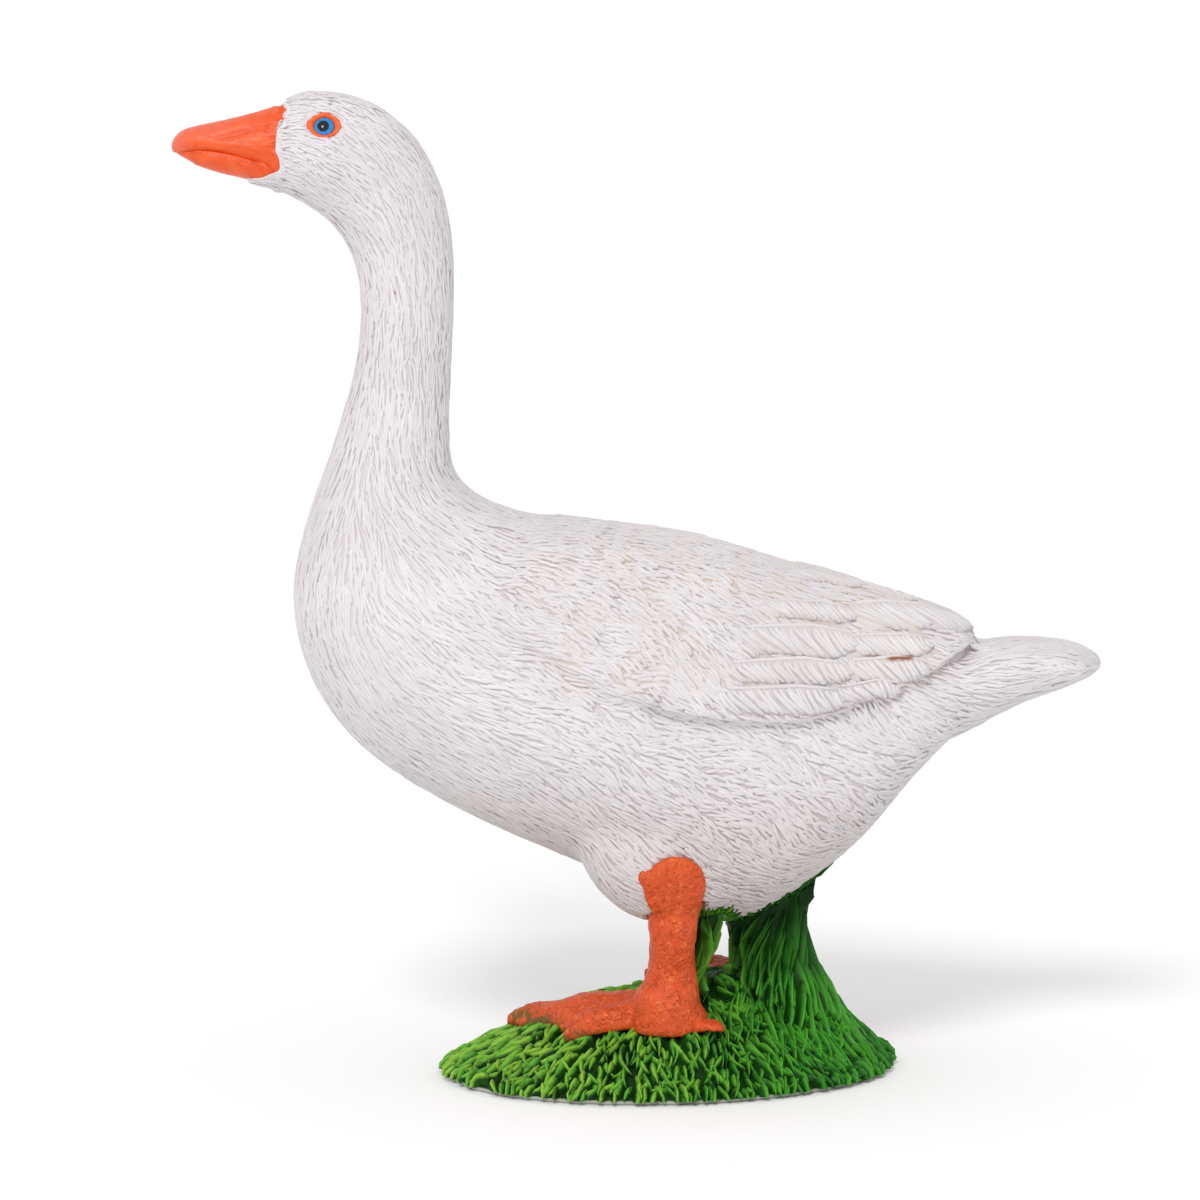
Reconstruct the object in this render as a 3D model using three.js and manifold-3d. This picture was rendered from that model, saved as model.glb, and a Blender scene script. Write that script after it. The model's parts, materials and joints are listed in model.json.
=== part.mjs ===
// A toy figure of a white domestic goose, moulded in plastic with the grass mound that it walks on.
// Millimetres, +Z up. The origin is the middle of the mound's underside. The goose faces -X, so its
// left side faces -Y.
import * as THREE from "three";
import { mergeVertices } from "three/addons/utils/BufferGeometryUtils.js";
import Module from "manifold-3d";

const wasm = await Module();
wasm.setup();

// ---- Driving dimensions ----

const GAP = 0.15; // clearance between neighbouring pieces
// The mound is an oval, turned a little, with its crest off its middle.
const MOUND = { halfLength: 18.6, halfDepth: 13.8, turn: 0.23, height: 7.1, lip: 0.5, crest: 4.4, bulge: 0.86 };
const WING_THICKNESS = 1.1;
const EYE = { x: -27.6, y: 3.15, z: 77.5, tilt: 0.36, dome: [0.8, 0.55, 0.7], ring: [1.38, 0.4, 1.05] };
const LEG = { ankle: 6.6, top: 19.0, cut: 7.2 };
const LEFT_LEG = { side: -1, x: 0.4, y: -7.2, turn: 0.44, lean: 0, foot: 14.3 };
const RIGHT_LEG = { side: 1, x: 10.0, y: 7.2, turn: 0.35, lean: -0.2, foot: 12.2 };
// Each toe's angle away from the middle toe, outwards, its share of the foot's length and its radius.
const TOES = [
  { angle: 0.42, share: 0.62, radius: 0.95 }, // outer
  { angle: 0, share: 1, radius: 0.9 }, // middle
  { angle: -0.3, share: 0.8, radius: 0.9 }, // inner
];
const HIND_TOE = { angle: Math.PI - 0.1, share: 0.32, radius: 0.75 };
const WEB = { thickness: 1.1, share: 0.9 };
// Sides of the rings that pieces are lofted through.
const AROUND = { flesh: 24, tail: 16, small: 12, eye: 10, toe: 6 };

// Each station of a body part is one ring: the point of its outline on the throat or belly side, the
// point on the crown or back side, its half width, and how far up between them it is widest.
const HEAD = [
  { under: [-32.4, 72.4], over: [-31.2, 78.9], half: 2.8, widest: 0.4 }, // bill base
  { under: [-30.6, 71.6], over: [-30.0, 79.8], half: 3.4, widest: 0.42 }, // forehead
  { under: [-28.9, 70.7], over: [-27.4, 80.0], half: 3.8, widest: 0.44 }, // eyes
  { under: [-27.2, 69.4], over: [-23.8, 79.1], half: 4.0, widest: 0.46 }, // cheeks
  { under: [-25.9, 67.6], over: [-20.5, 76.4], half: 3.9, widest: 0.5 }, // nape
];
const NECK = [
  { under: [-25.0, 65.2], over: [-18.2, 72.2], half: 3.7, widest: 0.5 },
  { under: [-24.8, 62.0], over: [-17.4, 67.0], half: 3.6, widest: 0.5 }, // thinnest
  { under: [-25.1, 58.9], over: [-17.4, 61.2], half: 3.7, widest: 0.5 },
  { under: [-25.9, 55.4], over: [-17.7, 56.2], half: 4.1, widest: 0.5 },
  { under: [-27.4, 50.6], over: [-17.8, 52.2], half: 5.0, widest: 0.5 }, // neck base
];
const TRUNK = [
  { under: [-29.2, 45.7], over: [-17.4, 49.2], half: 6.4, widest: 0.48 },
  { under: [-30.3, 41.2], over: [-15.6, 47.3], half: 8.2, widest: 0.48 },
  { under: [-30.4, 37.2], over: [-12.2, 46.0], half: 9.9, widest: 0.48 }, // breast
  { under: [-29.1, 32.5], over: [-8.0, 44.8], half: 11.3, widest: 0.48 },
  { under: [-26.0, 27.7], over: [-3.0, 44.2], half: 12.2, widest: 0.48 }, // shoulders
  { under: [-21.0, 23.9], over: [2.0, 43.3], half: 12.6, widest: 0.46 },
  { under: [-14.5, 20.4], over: [6.5, 41.9], half: 12.6, widest: 0.44 },
  { under: [-7.4, 17.4], over: [11.0, 40.5], half: 12.3, widest: 0.42 },
  { under: [-0.8, 14.4], over: [14.8, 39.3], half: 11.6, widest: 0.4 }, // belly
  { under: [5.0, 12.3], over: [18.0, 38.3], half: 10.6, widest: 0.38 },
  { under: [11.0, 15.7], over: [20.8, 37.3], half: 9.2, widest: 0.4 }, // vent
  { under: [15.6, 19.4], over: [22.8, 36.3], half: 7.6, widest: 0.45 },
  { under: [19.4, 24.2], over: [24.2, 35.4], half: 6.0, widest: 0.5 }, // rump
  { under: [22.6, 27.3], over: [25.0, 34.6], half: 4.6, widest: 0.5 },
];
const TAIL = [
  { under: [20.4, 26.4], over: [21.5, 34.2], half: 4.0, widest: 0.6 },
  { under: [24.6, 28.2], over: [24.8, 35.2], half: 5.2, widest: 0.7 },
  { under: [28.4, 30.4], over: [28.4, 35.5], half: 6.2, widest: 0.75 },
  { under: [31.4, 31.5], over: [31.4, 35.3], half: 6.0, widest: 0.7 },
  { under: [33.6, 32.5], over: [33.6, 34.9], half: 4.6, widest: 0.6 },
  { under: [34.9, 33.3], over: [34.9, 34.1], half: 2.0, widest: 0.5 }, // tip
];
const BILL_UPPER = [
  { under: [-39.9, 75.3], over: [-39.9, 75.9], half: 0.7, widest: 0.5 }, // nail
  { under: [-39.3, 75.2], over: [-39.2, 76.8], half: 1.4, widest: 0.4 },
  { under: [-37.6, 75.4], over: [-37.4, 77.3], half: 1.9, widest: 0.3 },
  { under: [-35.4, 75.1], over: [-35.2, 77.8], half: 2.2, widest: 0.25 },
  { under: [-33.2, 74.4], over: [-33.0, 78.4], half: 2.5, widest: 0.25 },
  { under: [-31.6, 73.7], over: [-31.0, 79.0], half: 2.7, widest: 0.3 },
];
const BILL_LOWER = [
  { under: [-39.1, 74.6], over: [-39.1, 75.05], half: 0.7, widest: 0.8 },
  { under: [-38.2, 74.1], over: [-38.2, 75.25], half: 1.4, widest: 0.8 },
  { under: [-36.2, 73.4], over: [-36.2, 75.15], half: 1.9, widest: 0.8 },
  { under: [-34.0, 72.9], over: [-34.0, 74.6], half: 2.2, widest: 0.8 },
  { under: [-32.2, 72.4], over: [-31.6, 73.6], half: 2.4, widest: 0.8 },
];

// ---- Solids ----

// A three.js geometry as a solid that manifold-3d can cut.
function solid(geometry) {
  const bare = geometry.clone().deleteAttribute("normal").deleteAttribute("uv");
  const merged = mergeVertices(bare, 1e-4);
  return new wasm.Manifold(
    new wasm.Mesh({
      numProp: 3,
      vertProperties: merged.attributes.position.array,
      triVerts: new Uint32Array(merged.index.array),
    }),
  );
}

function geometryOf(manifold) {
  const mesh = manifold.getMesh();
  const geometry = new THREE.BufferGeometry();
  geometry.setAttribute("position", new THREE.BufferAttribute(mesh.vertProperties, 3));
  geometry.setIndex(new THREE.BufferAttribute(mesh.triVerts, 1));
  geometry.computeVertexNormals();
  return geometry;
}

// A sphere whose rows of vertices become rings, with a flat cap at each end. ringAt(t) gives a ring's
// middle and its reach up, down and sideways, for t from 0 to 1.
function loft(ringAt, steps, around) {
  const geometry = new THREE.SphereGeometry(1, around, steps + 2);
  const { position, uv } = geometry.attributes;
  for (let i = 0; i < position.count; i++) {
    const row = Math.round((1 - uv.getY(i)) * (steps + 2)) - 1;
    const isCap = row < 0 || row > steps;
    const ring = ringAt(THREE.MathUtils.clamp(row / steps, 0, 1));
    const angle = 2 * Math.PI * uv.getX(i);
    const point = ring.middle.clone();
    if (!isCap) {
      point.addScaledVector(Math.cos(angle) > 0 ? ring.up : ring.down, Math.abs(Math.cos(angle)));
      point.addScaledVector(ring.side, Math.sin(angle));
    }
    position.setXYZ(i, point.x, point.y, point.z);
  }
  return solid(geometry);
}

// The ring function of a list of stations, all its rings made larger by grow.
function through(stations, grow = 0) {
  const vector = ([x, z]) => new THREE.Vector3(x, 0, z);
  const under = new THREE.CatmullRomCurve3(stations.map((s) => vector(s.under)));
  const over = new THREE.CatmullRomCurve3(stations.map((s) => vector(s.over)));
  const width = new THREE.CatmullRomCurve3(stations.map((s) => vector([s.half, s.widest])));
  return (t) => {
    const low = under.getPoint(t);
    const high = over.getPoint(t);
    const { x: half, z: widest } = width.getPoint(t);
    const middle = low.clone().lerp(high, widest);
    const outward = high.clone().sub(low).setLength(grow);
    return {
      middle,
      up: high.clone().sub(middle).add(outward),
      down: low.clone().sub(middle).sub(outward),
      side: new THREE.Vector3(0, half + grow, 0),
    };
  };
}

// A level ring of a loft that rises along Z, turned about its middle.
function levelRing(middle, halfX, halfY, turn = 0) {
  const along = new THREE.Vector3(Math.cos(turn), Math.sin(turn), 0);
  const across = new THREE.Vector3(-Math.sin(turn), Math.cos(turn), 0);
  return {
    middle,
    up: along.clone().multiplyScalar(-halfX),
    down: along.clone().multiplyScalar(halfX),
    side: across.multiplyScalar(halfY),
  };
}

function ellipsoid([x, y, z], [halfX, halfY, halfZ], around, turnX = 0, turnY = 0) {
  const geometry = new THREE.SphereGeometry(1, around, around - 4);
  geometry.scale(halfX, halfY, halfZ).rotateY(turnY).rotateX(turnX).translate(x, y, z);
  return solid(geometry);
}

// A prism of a side-view outline, from one Y to another.
function sidePrism(shape, fromY, toY) {
  const geometry = new THREE.ExtrudeGeometry(shape, {
    depth: toY - fromY,
    bevelEnabled: false,
    curveSegments: 6,
  });
  geometry.rotateX(Math.PI / 2).translate(0, toY, 0);
  return solid(geometry);
}

// The part of a solid between two planes that cross the middle plane. A plane goes through a
// station's two outline points; what lies towards the tail of it is kept, or towards the bill.
function planeOf({ under, over }) {
  const normal = new THREE.Vector3(over[1] - under[1], 0, under[0] - over[0]).normalize();
  return { normal, offset: normal.x * under[0] + normal.z * under[1] };
}

function tailward(manifold, station) {
  const { normal, offset } = planeOf(station);
  return manifold.trimByPlane(normal.toArray(), offset + GAP / 2);
}

function billward(manifold, station) {
  const { normal, offset } = planeOf(station);
  return manifold.trimByPlane(normal.negate().toArray(), -offset + GAP / 2);
}

// ---- The goose's flesh ----

const FLESH_STEPS = 42;
const fleshStations = [...HEAD, ...NECK, ...TRUNK];
const flesh = (grow) => loft(through(fleshStations, grow), FLESH_STEPS, AROUND.flesh);
const fleshSolid = flesh(0);
const fleshWithGap = flesh(GAP);
const nape = HEAD[HEAD.length - 1];
const neckBase = NECK[NECK.length - 1];

// The feathered thigh that bulges from the belly round the top of a leg.
function thigh(leg) {
  const top = leg.x + leg.lean * (LEG.top - LEG.ankle);
  return ellipsoid([top - 1.7, leg.y * 0.84, LEG.top - 0.2], [6.6, 4.6, 5.3], AROUND.small, 0, 0.6);
}

// A folded wing: a shell on the trunk, inside the wing's outline, with its tip over the tail.
function wingOutline() {
  const shape = new THREE.Shape();
  shape.moveTo(-13, 38.6); // bend of the wing
  shape.quadraticCurveTo(-13.5, 44.5, -6, 47.5);
  shape.lineTo(4, 47.5);
  shape.quadraticCurveTo(16, 43.5, 24.6, 38.2);
  shape.quadraticCurveTo(26.2, 36.2, 23.4, 35.2); // tip
  shape.quadraticCurveTo(15.5, 30.9, 9, 30.6);
  shape.quadraticCurveTo(-4, 30.6, -13, 38.6);
  return shape;
}

function wing(side) {
  const reach = 20;
  const middle = 0.3;
  const [from, to] = side < 0 ? [-reach, -middle] : [middle, reach];
  return flesh(WING_THICKNESS).intersect(sidePrism(wingOutline(), from, to));
}

// An eye is a dome on the side of the head inside an almond-shaped painted ring.
function eyeParts(side) {
  const at = [EYE.x, side * EYE.y, EYE.z];
  const shape = (halves, grow) =>
    ellipsoid(at, halves.map((half) => half + grow), AROUND.eye, side * EYE.tilt);
  const domeSpace = shape(EYE.dome, GAP);
  return {
    dome: shape(EYE.dome, 0),
    ring: shape(EYE.ring, 0).subtract(domeSpace),
    space: shape(EYE.ring, GAP).add(domeSpace),
  };
}

// ---- Legs, feet and the ground ----

// The mound's surface at a share of its size, from 0 at its rim to 1 at its crest.
function moundRise(share) {
  const { height, lip, bulge } = MOUND;
  return lip + (height - lip) * Math.sin((Math.PI / 2) * share ** bulge);
}

// The height of the mound's surface over a point. The share there depends on the crest's own share,
// so it is found by repeating.
function moundHeight(x, y) {
  const along = x * Math.cos(MOUND.turn) + y * Math.sin(MOUND.turn);
  const across = y * Math.cos(MOUND.turn) - x * Math.sin(MOUND.turn);
  let share = 0;
  for (let round = 0; round < 12; round++) {
    const fromCrest = (along - MOUND.crest * share) / MOUND.halfLength;
    share = Math.max(0, 1 - Math.hypot(fromCrest, across / MOUND.halfDepth));
  }
  return moundRise(share);
}

// The dome of the mound, with an upright lip round its flat underside.
function mound(grow = 0) {
  const steps = 9;
  const uphill = new THREE.Vector3(Math.cos(MOUND.turn), Math.sin(MOUND.turn), 0);
  const ringAt = (t) => {
    const rise = THREE.MathUtils.clamp((t * steps - 1) / (steps - 1), 0, 0.97);
    const share = 1 - Math.cos((rise * Math.PI) / 2);
    const isUnderside = t < 1 / steps;
    const middle = uphill.clone().multiplyScalar(MOUND.crest * share);
    middle.z = isUnderside ? 0 : moundRise(share) + grow;
    const halfX = (MOUND.halfLength + grow) * (1 - share);
    const halfY = (MOUND.halfDepth + grow) * (1 - share);
    return levelRing(middle, halfX, halfY, MOUND.turn);
  };
  return loft(ringAt, steps, AROUND.flesh);
}

// The bare part of a leg, from inside the foot to its rounded top on the thigh.
function shank(leg, grow) {
  const profile = [
    { z: LEG.ankle - 1.8, radius: 3.0, back: -0.4 },
    { z: LEG.ankle + 0.6, radius: 2.9, back: -0.4 },
    { z: LEG.ankle + 2.2, radius: 2.3, back: -0.1 },
    { z: LEG.ankle + 4.0, radius: 1.95, back: 0 },
    { z: LEG.ankle + 6.8, radius: 2.0, back: 0 },
    { z: LEG.top - 3.0, radius: 2.5, back: 0.1 },
    { z: LEG.top - 0.9, radius: 2.55, back: 0 },
    { z: LEG.top + grow, radius: 1.5, back: -0.1 },
  ];
  const line = new THREE.CatmullRomCurve3(
    profile.map((p) => new THREE.Vector3(p.back, p.radius + grow, p.z)),
  );
  const ringAt = (t) => {
    const at = line.getPoint(t);
    const lean = leg.lean * (at.z - LEG.ankle);
    const middle = new THREE.Vector3(leg.x + at.x + lean, leg.y, at.z);
    return levelRing(middle, at.y, at.y * 0.92);
  };
  return loft(ringAt, 12, AROUND.small);
}

// The way a toe points from the ankle, seen from above, and the place of a point along it.
const heading = (leg, { angle }) => Math.PI + leg.side * (leg.turn - angle);

function alongToe(leg, toe, length) {
  const way = heading(leg, toe);
  const x = leg.x + Math.cos(way) * length;
  const y = leg.y + Math.sin(way) * length;
  return new THREE.Vector3(x, y, moundHeight(x, y) + toe.radius * 0.65);
}

// A toe from the ankle to its tip on the mound, as a tapering rod with a rounded end.
function toeRod(leg, toe, grow) {
  const length = leg.foot * toe.share + grow;
  const line = new THREE.CatmullRomCurve3([0, 0.5, 1].map((t) => alongToe(leg, toe, t * length)));
  const way = heading(leg, toe);
  const across = new THREE.Vector3(-Math.sin(way), Math.cos(way), 0);
  const upward = new THREE.Vector3(0, 0, 1);
  const ringAt = (t) => {
    const size = (toe.radius + grow) * (t > 0.84 ? Math.sqrt(1 - ((t - 0.84) / 0.165) ** 2) : 1);
    return {
      middle: line.getPoint(t),
      up: upward.clone().multiplyScalar(size),
      down: upward.clone().multiplyScalar(-size),
      side: across.clone().multiplyScalar(size),
    };
  };
  return loft(ringAt, 6, AROUND.toe);
}

// A webbed foot: three toes on a web that follows the mound, and a short hind toe.
function foot(leg, grow) {
  const outline = new THREE.Shape();
  outline.moveTo(leg.x + 1.6 + grow, leg.y);
  for (const toe of TOES) {
    const tip = alongToe(leg, toe, leg.foot * toe.share * WEB.share + grow);
    outline.lineTo(tip.x, tip.y);
  }
  const prism = solid(new THREE.ExtrudeGeometry(outline, { depth: 20, bevelEnabled: false }));
  const web = mound(WEB.thickness + grow).intersect(prism);
  return [...TOES, HIND_TOE].reduce((shape, toe) => shape.add(toeRod(leg, toe, grow)), web);
}

const wholeLeg = (leg, grow = 0) => shank(leg, grow).add(foot(leg, grow));

// A clump of long grass: a bundle that stands on the mound and flares against the belly.
function clump(rings) {
  const line = (key) =>
    new THREE.CatmullRomCurve3(rings.map((r) => new THREE.Vector3(r[key][0], r[key][1], r.z)));
  const middles = line("at");
  const halves = line("half");
  const ringAt = (t) => {
    const half = halves.getPoint(t);
    return levelRing(middles.getPoint(t), half.x, half.y);
  };
  return loft(ringAt, 8, AROUND.small);
}

const frontClump = clump([
  { z: 3.0, at: [3.7, -4.4], half: [1.7, 1.8] },
  { z: 6.5, at: [3.1, -4.3], half: [1.1, 1.3] },
  { z: 10.0, at: [2.9, -4.1], half: [0.9, 1.2] },
  { z: 14.5, at: [4.0, -4.0], half: [1.3, 1.5] },
]);
const rearClump = clump([
  { z: 2.0, at: [9.8, -0.6], half: [5.8, 5.4] },
  { z: 6.6, at: [9.1, -0.6], half: [4.0, 4.0] },
  { z: 10.4, at: [8.4, -0.4], half: [2.7, 3.2] },
  { z: 13.6, at: [8.3, -0.4], half: [2.6, 3.0] },
  { z: 16.4, at: [9.5, -0.4], half: [2.9, 3.2] },
  { z: 19.0, at: [12.0, -0.4], half: [2.0, 3.0] },
]);

// ---- The figure ----

const PAINT = {
  feather: new THREE.MeshStandardMaterial({ color: 0xece8e6, roughness: 0.5 }),
  bill: new THREE.MeshStandardMaterial({ color: 0xf2602f, roughness: 0.4 }),
  leg: new THREE.MeshStandardMaterial({ color: 0xe45a2c, roughness: 0.5 }),
  ring: new THREE.MeshStandardMaterial({ color: 0xee6a33, roughness: 0.5 }),
  eye: new THREE.MeshStandardMaterial({ color: 0x2a86c4, roughness: 0.2 }),
  grass: new THREE.MeshStandardMaterial({ color: 0x2f8a2a, roughness: 0.6 }),
};

const figure = new THREE.Group();

function addPiece(name, manifold, material) {
  const mesh = new THREE.Mesh(geometryOf(manifold), material);
  mesh.name = name;
  figure.add(mesh);
}

// The largest body of a cut solid, without the slivers that a cut can leave.
function mainBody(manifold) {
  return manifold.decompose().reduce((a, b) => (a.volume() > b.volume() ? a : b));
}

const ground = mound();
const groundSpace = mound(GAP);
const eyes = { left: eyeParts(-1), right: eyeParts(1) };
const wings = { left: wing(-1), right: wing(1) };
const legs = { left: LEFT_LEG, right: RIGHT_LEG };
const legSpace = wholeLeg(LEFT_LEG, GAP).add(wholeLeg(RIGHT_LEG, GAP));
const tailShape = through(TAIL);

const head = tailward(billward(fleshSolid, nape), HEAD[0]);
addPiece("head", head.subtract(eyes.left.space).subtract(eyes.right.space), PAINT.feather);
addPiece("neck", billward(tailward(fleshSolid, nape), neckBase), PAINT.feather);
addPiece("trunk", mainBody(tailward(fleshSolid, neckBase).subtract(legSpace)), PAINT.feather);
const tail = loft(tailShape, 10, AROUND.tail).subtract(fleshWithGap);
addPiece("tail", mainBody(tail), PAINT.feather);

const billBase = (stations) => billward(loft(through(stations), 9, AROUND.small), HEAD[0]);
addPiece("bill_upper", billBase(BILL_UPPER), PAINT.bill);
addPiece("bill_lower", billBase(BILL_LOWER), PAINT.bill);

const tailSpace = loft(through(TAIL, GAP), 10, AROUND.tail);
for (const [side, leg] of Object.entries(legs)) {
  const onTrunk = wings[side].subtract(fleshWithGap).subtract(tailSpace);
  addPiece(`wing_${side}`, mainBody(onTrunk), PAINT.feather);
  addPiece(`thigh_${side}`, mainBody(thigh(leg).subtract(fleshWithGap).subtract(legSpace)), PAINT.feather);
  addPiece(`eye_ring_${side}`, mainBody(eyes[side].ring), PAINT.ring);
  addPiece(`eye_${side}`, eyes[side].dome, PAINT.eye);
  const whole = wholeLeg(leg).subtract(groundSpace);
  addPiece(`shank_${side}`, mainBody(whole.trimByPlane([0, 0, 1], LEG.cut + GAP / 2)), PAINT.leg);
  addPiece(`foot_${side}`, mainBody(whole.trimByPlane([0, 0, -1], -LEG.cut + GAP / 2)), PAINT.leg);
}

const thighSpace = thigh(LEFT_LEG).add(thigh(RIGHT_LEG));
const onMound = (manifold) =>
  mainBody(manifold.subtract(groundSpace).subtract(fleshWithGap).subtract(legSpace).subtract(thighSpace));
addPiece("mound", ground, PAINT.grass);
addPiece("grass_clump_front", onMound(frontClump), PAINT.grass);
addPiece("grass_clump_rear", onMound(rearClump), PAINT.grass);

export default figure;
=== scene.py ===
import json
import math

import bmesh
import bpy
import numpy as np
from mathutils import Matrix, Vector
from mathutils.bvhtree import BVHTree
from mathutils.kdtree import KDTree

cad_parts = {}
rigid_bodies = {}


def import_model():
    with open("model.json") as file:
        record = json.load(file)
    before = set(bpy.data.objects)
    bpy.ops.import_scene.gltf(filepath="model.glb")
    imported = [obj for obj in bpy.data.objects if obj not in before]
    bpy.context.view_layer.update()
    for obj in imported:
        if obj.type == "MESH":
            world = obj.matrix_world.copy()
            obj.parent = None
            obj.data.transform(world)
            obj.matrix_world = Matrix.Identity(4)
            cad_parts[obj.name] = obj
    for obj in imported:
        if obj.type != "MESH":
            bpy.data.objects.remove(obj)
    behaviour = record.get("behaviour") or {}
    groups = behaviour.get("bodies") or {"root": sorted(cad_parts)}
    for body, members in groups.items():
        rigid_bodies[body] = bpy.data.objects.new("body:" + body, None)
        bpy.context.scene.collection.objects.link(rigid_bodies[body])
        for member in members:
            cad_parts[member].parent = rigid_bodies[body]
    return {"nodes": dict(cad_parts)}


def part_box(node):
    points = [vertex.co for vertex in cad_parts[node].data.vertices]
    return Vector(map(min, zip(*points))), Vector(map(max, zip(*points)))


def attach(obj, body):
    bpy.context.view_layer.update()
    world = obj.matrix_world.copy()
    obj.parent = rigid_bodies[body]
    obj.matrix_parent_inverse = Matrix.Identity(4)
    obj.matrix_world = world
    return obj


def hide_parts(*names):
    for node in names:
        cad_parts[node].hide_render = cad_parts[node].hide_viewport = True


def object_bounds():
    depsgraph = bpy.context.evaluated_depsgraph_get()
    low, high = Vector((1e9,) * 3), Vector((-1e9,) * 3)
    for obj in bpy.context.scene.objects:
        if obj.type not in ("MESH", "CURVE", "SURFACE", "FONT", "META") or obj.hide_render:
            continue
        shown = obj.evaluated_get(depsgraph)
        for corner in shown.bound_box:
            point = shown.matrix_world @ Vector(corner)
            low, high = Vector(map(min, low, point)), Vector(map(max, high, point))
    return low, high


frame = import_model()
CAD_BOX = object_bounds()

MM = 0.001
RANDOM = np.random.default_rng(11)
SIDES = {"left": -1, "right": 1}

# ---------------------------------------------------------------- camera

VIEW = {"distance": 520 * MM, "elevation": math.radians(8.5), "lens": 192.5}
AIM_AHEAD = 3.1 * MM      # the view is centred this far in front of the figure's middle
AIM_HEIGHT = 0.484        # share of the figure's height


def linked(name, data):
    """A new object in the scene."""
    obj = bpy.data.objects.new(name, data)
    bpy.context.scene.collection.objects.link(obj)
    return obj


def facing(obj, way):
    """Turns a camera or a lamp to look along way."""
    obj.rotation_mode = "QUATERNION"
    obj.rotation_quaternion = way.to_track_quat("-Z", "Y")


def studio_camera():
    low, high = CAD_BOX
    aim = Vector(((low.x + high.x) / 2 - AIM_AHEAD, 0, low.z + AIM_HEIGHT * (high.z - low.z)))
    back = Vector((0, -math.cos(VIEW["elevation"]), math.sin(VIEW["elevation"])))
    camera = linked("studio_camera", bpy.data.cameras.new("studio_camera"))
    camera.data.lens = VIEW["lens"]
    camera.location = aim + back * VIEW["distance"]
    facing(camera, -back)
    bpy.context.scene.camera = camera


# ---------------------------------------------------------------- shaders


class Signal:
    """A number or colour on its way through a shader. Arithmetic on it adds Math nodes."""

    def __init__(self, paint, socket):
        self.paint = paint
        self.socket = socket

    def math(self, operation, *values):
        return self.paint.node("ShaderNodeMath", {"operation": operation}, dict(enumerate((self, *values))))

    def __add__(self, other):
        return self.math("ADD", other)

    __radd__ = __add__

    def __mul__(self, other):
        return self.math("MULTIPLY", other)

    __rmul__ = __mul__

    def __sub__(self, other):
        return self.math("SUBTRACT", other)

    def __rsub__(self, other):
        return self.paint.node("ShaderNodeMath", {"operation": "SUBTRACT"}, {0: other, 1: self})

    def ramp(self, low, high):
        """0 below low, 1 above high, and smooth between; the other way round where low is above high."""
        sockets = {0: self, 1: low, 2: high} if low < high else {0: self, 1: high, 2: low, 3: 1.0, 4: 0.0}
        return self.paint.node("ShaderNodeMapRange", {"interpolation_type": "SMOOTHSTEP"}, sockets)


class Paint:
    """One material, and the way to add a node to it. Noise and axes run on the piece's own coordinates."""

    def __init__(self, name, **constants):
        self.material = bpy.data.materials.new(name)
        self.material.use_nodes = True
        self.tree = self.material.node_tree
        self.shader = self.tree.nodes["Principled BSDF"]
        for socket, value in constants.items():
            self.shader.inputs[socket.replace("_", " ")].default_value = value
        self.place = self.node("ShaderNodeTexCoord", output="Object")

    def node(self, kind, settings=None, sockets=None, output=0):
        node = self.tree.nodes.new(kind)
        for key, value in (settings or {}).items():
            setattr(node, key, value)
        for key, value in (sockets or {}).items():
            self.feed(node.inputs[key], value)
        return Signal(self, node.outputs[output])

    def feed(self, socket, value):
        if isinstance(value, Signal):
            self.tree.links.new(value.socket, socket)
        elif socket.type == "RGBA":
            socket.default_value = (*value, 1)
        else:
            socket.default_value = value

    def axis(self, name, at=None):
        return self.node("ShaderNodeSeparateXYZ", None, {0: at or self.place}, output=name)

    def attribute(self, name, output="Fac"):
        return self.node("ShaderNodeAttribute", {"attribute_name": name}, output=output)

    def noise(self, grain, detail=2.0, distortion=0.0, at=None):
        """Noise whose grains are about this many metres across, from 0 to 1."""
        sockets = {"Vector": at or self.place, "Scale": 1 / grain, "Detail": detail}
        return self.node("ShaderNodeTexNoise", None, {**sockets, "Distortion": distortion}, output="Fac")

    def hairlines(self, grain, broken, at=None):
        """Thin crooked lines, about half a grain apart, in short lengths: 1 on the lines and 0 off them."""
        line = (self.noise(grain, 1, 1.2, at) - 0.5).math("ABSOLUTE").ramp(0.035, 0.004)
        return line * self.noise(broken, 1, at=at).ramp(0.44, 0.54)

    def stretched(self, factors, at=None):
        sockets = {0: at or self.place, 1: factors}
        return self.node("ShaderNodeVectorMath", {"operation": "MULTIPLY"}, sockets)

    def mix(self, factor, first, second):
        return self.node("ShaderNodeMix", {"data_type": "RGBA"}, {0: factor, 6: first, 7: second}, output=2)

    def done(self, colour, roughness, relief=None, depth=0.0, strength=1.0):
        """The material, with its colour, roughness and fine relief."""
        self.feed(self.shader.inputs["Base Color"], colour)
        self.feed(self.shader.inputs["Roughness"], roughness)
        if relief:
            sockets = {"Height": relief, "Distance": depth, "Strength": strength}
            self.feed(self.shader.inputs["Normal"], self.node("ShaderNodeBump", None, sockets))
        return self.material


# ---------------------------------------------------------------- paints

WHITE = (0.773, 0.739, 0.757)
GREY_WHITE = (0.725, 0.690, 0.710)
BELLY_SHADE_WHITE = (0.60, 0.525, 0.52)      # painted shade of the belly and thighs
# painted shade in the grooves between strokes, mixed with the toy's grey-pink wash
GROOVE = (0.40, 0.345, 0.355)
# painted shade in the grooves of the belly and thighs
BELLY_SHADE_GROOVE = (0.33, 0.25, 0.235)
WASH = (0.62, 0.51, 0.405)
BILL_ORANGE = (0.86, 0.112, 0.018)
DULL_WHITE = (0.58, 0.550, 0.565)    # of the dullest strokes
STAIN = (0.30, 0.13, 0.06)


def window(signal, low, high, soft):
    """1 between low and high, falling to 0 over soft on either side."""
    return signal.ramp(low - soft, low + soft) * signal.ramp(high + soft, high - soft)


def at_most_one(signal):
    return signal.math("MINIMUM", 1.0)


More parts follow.
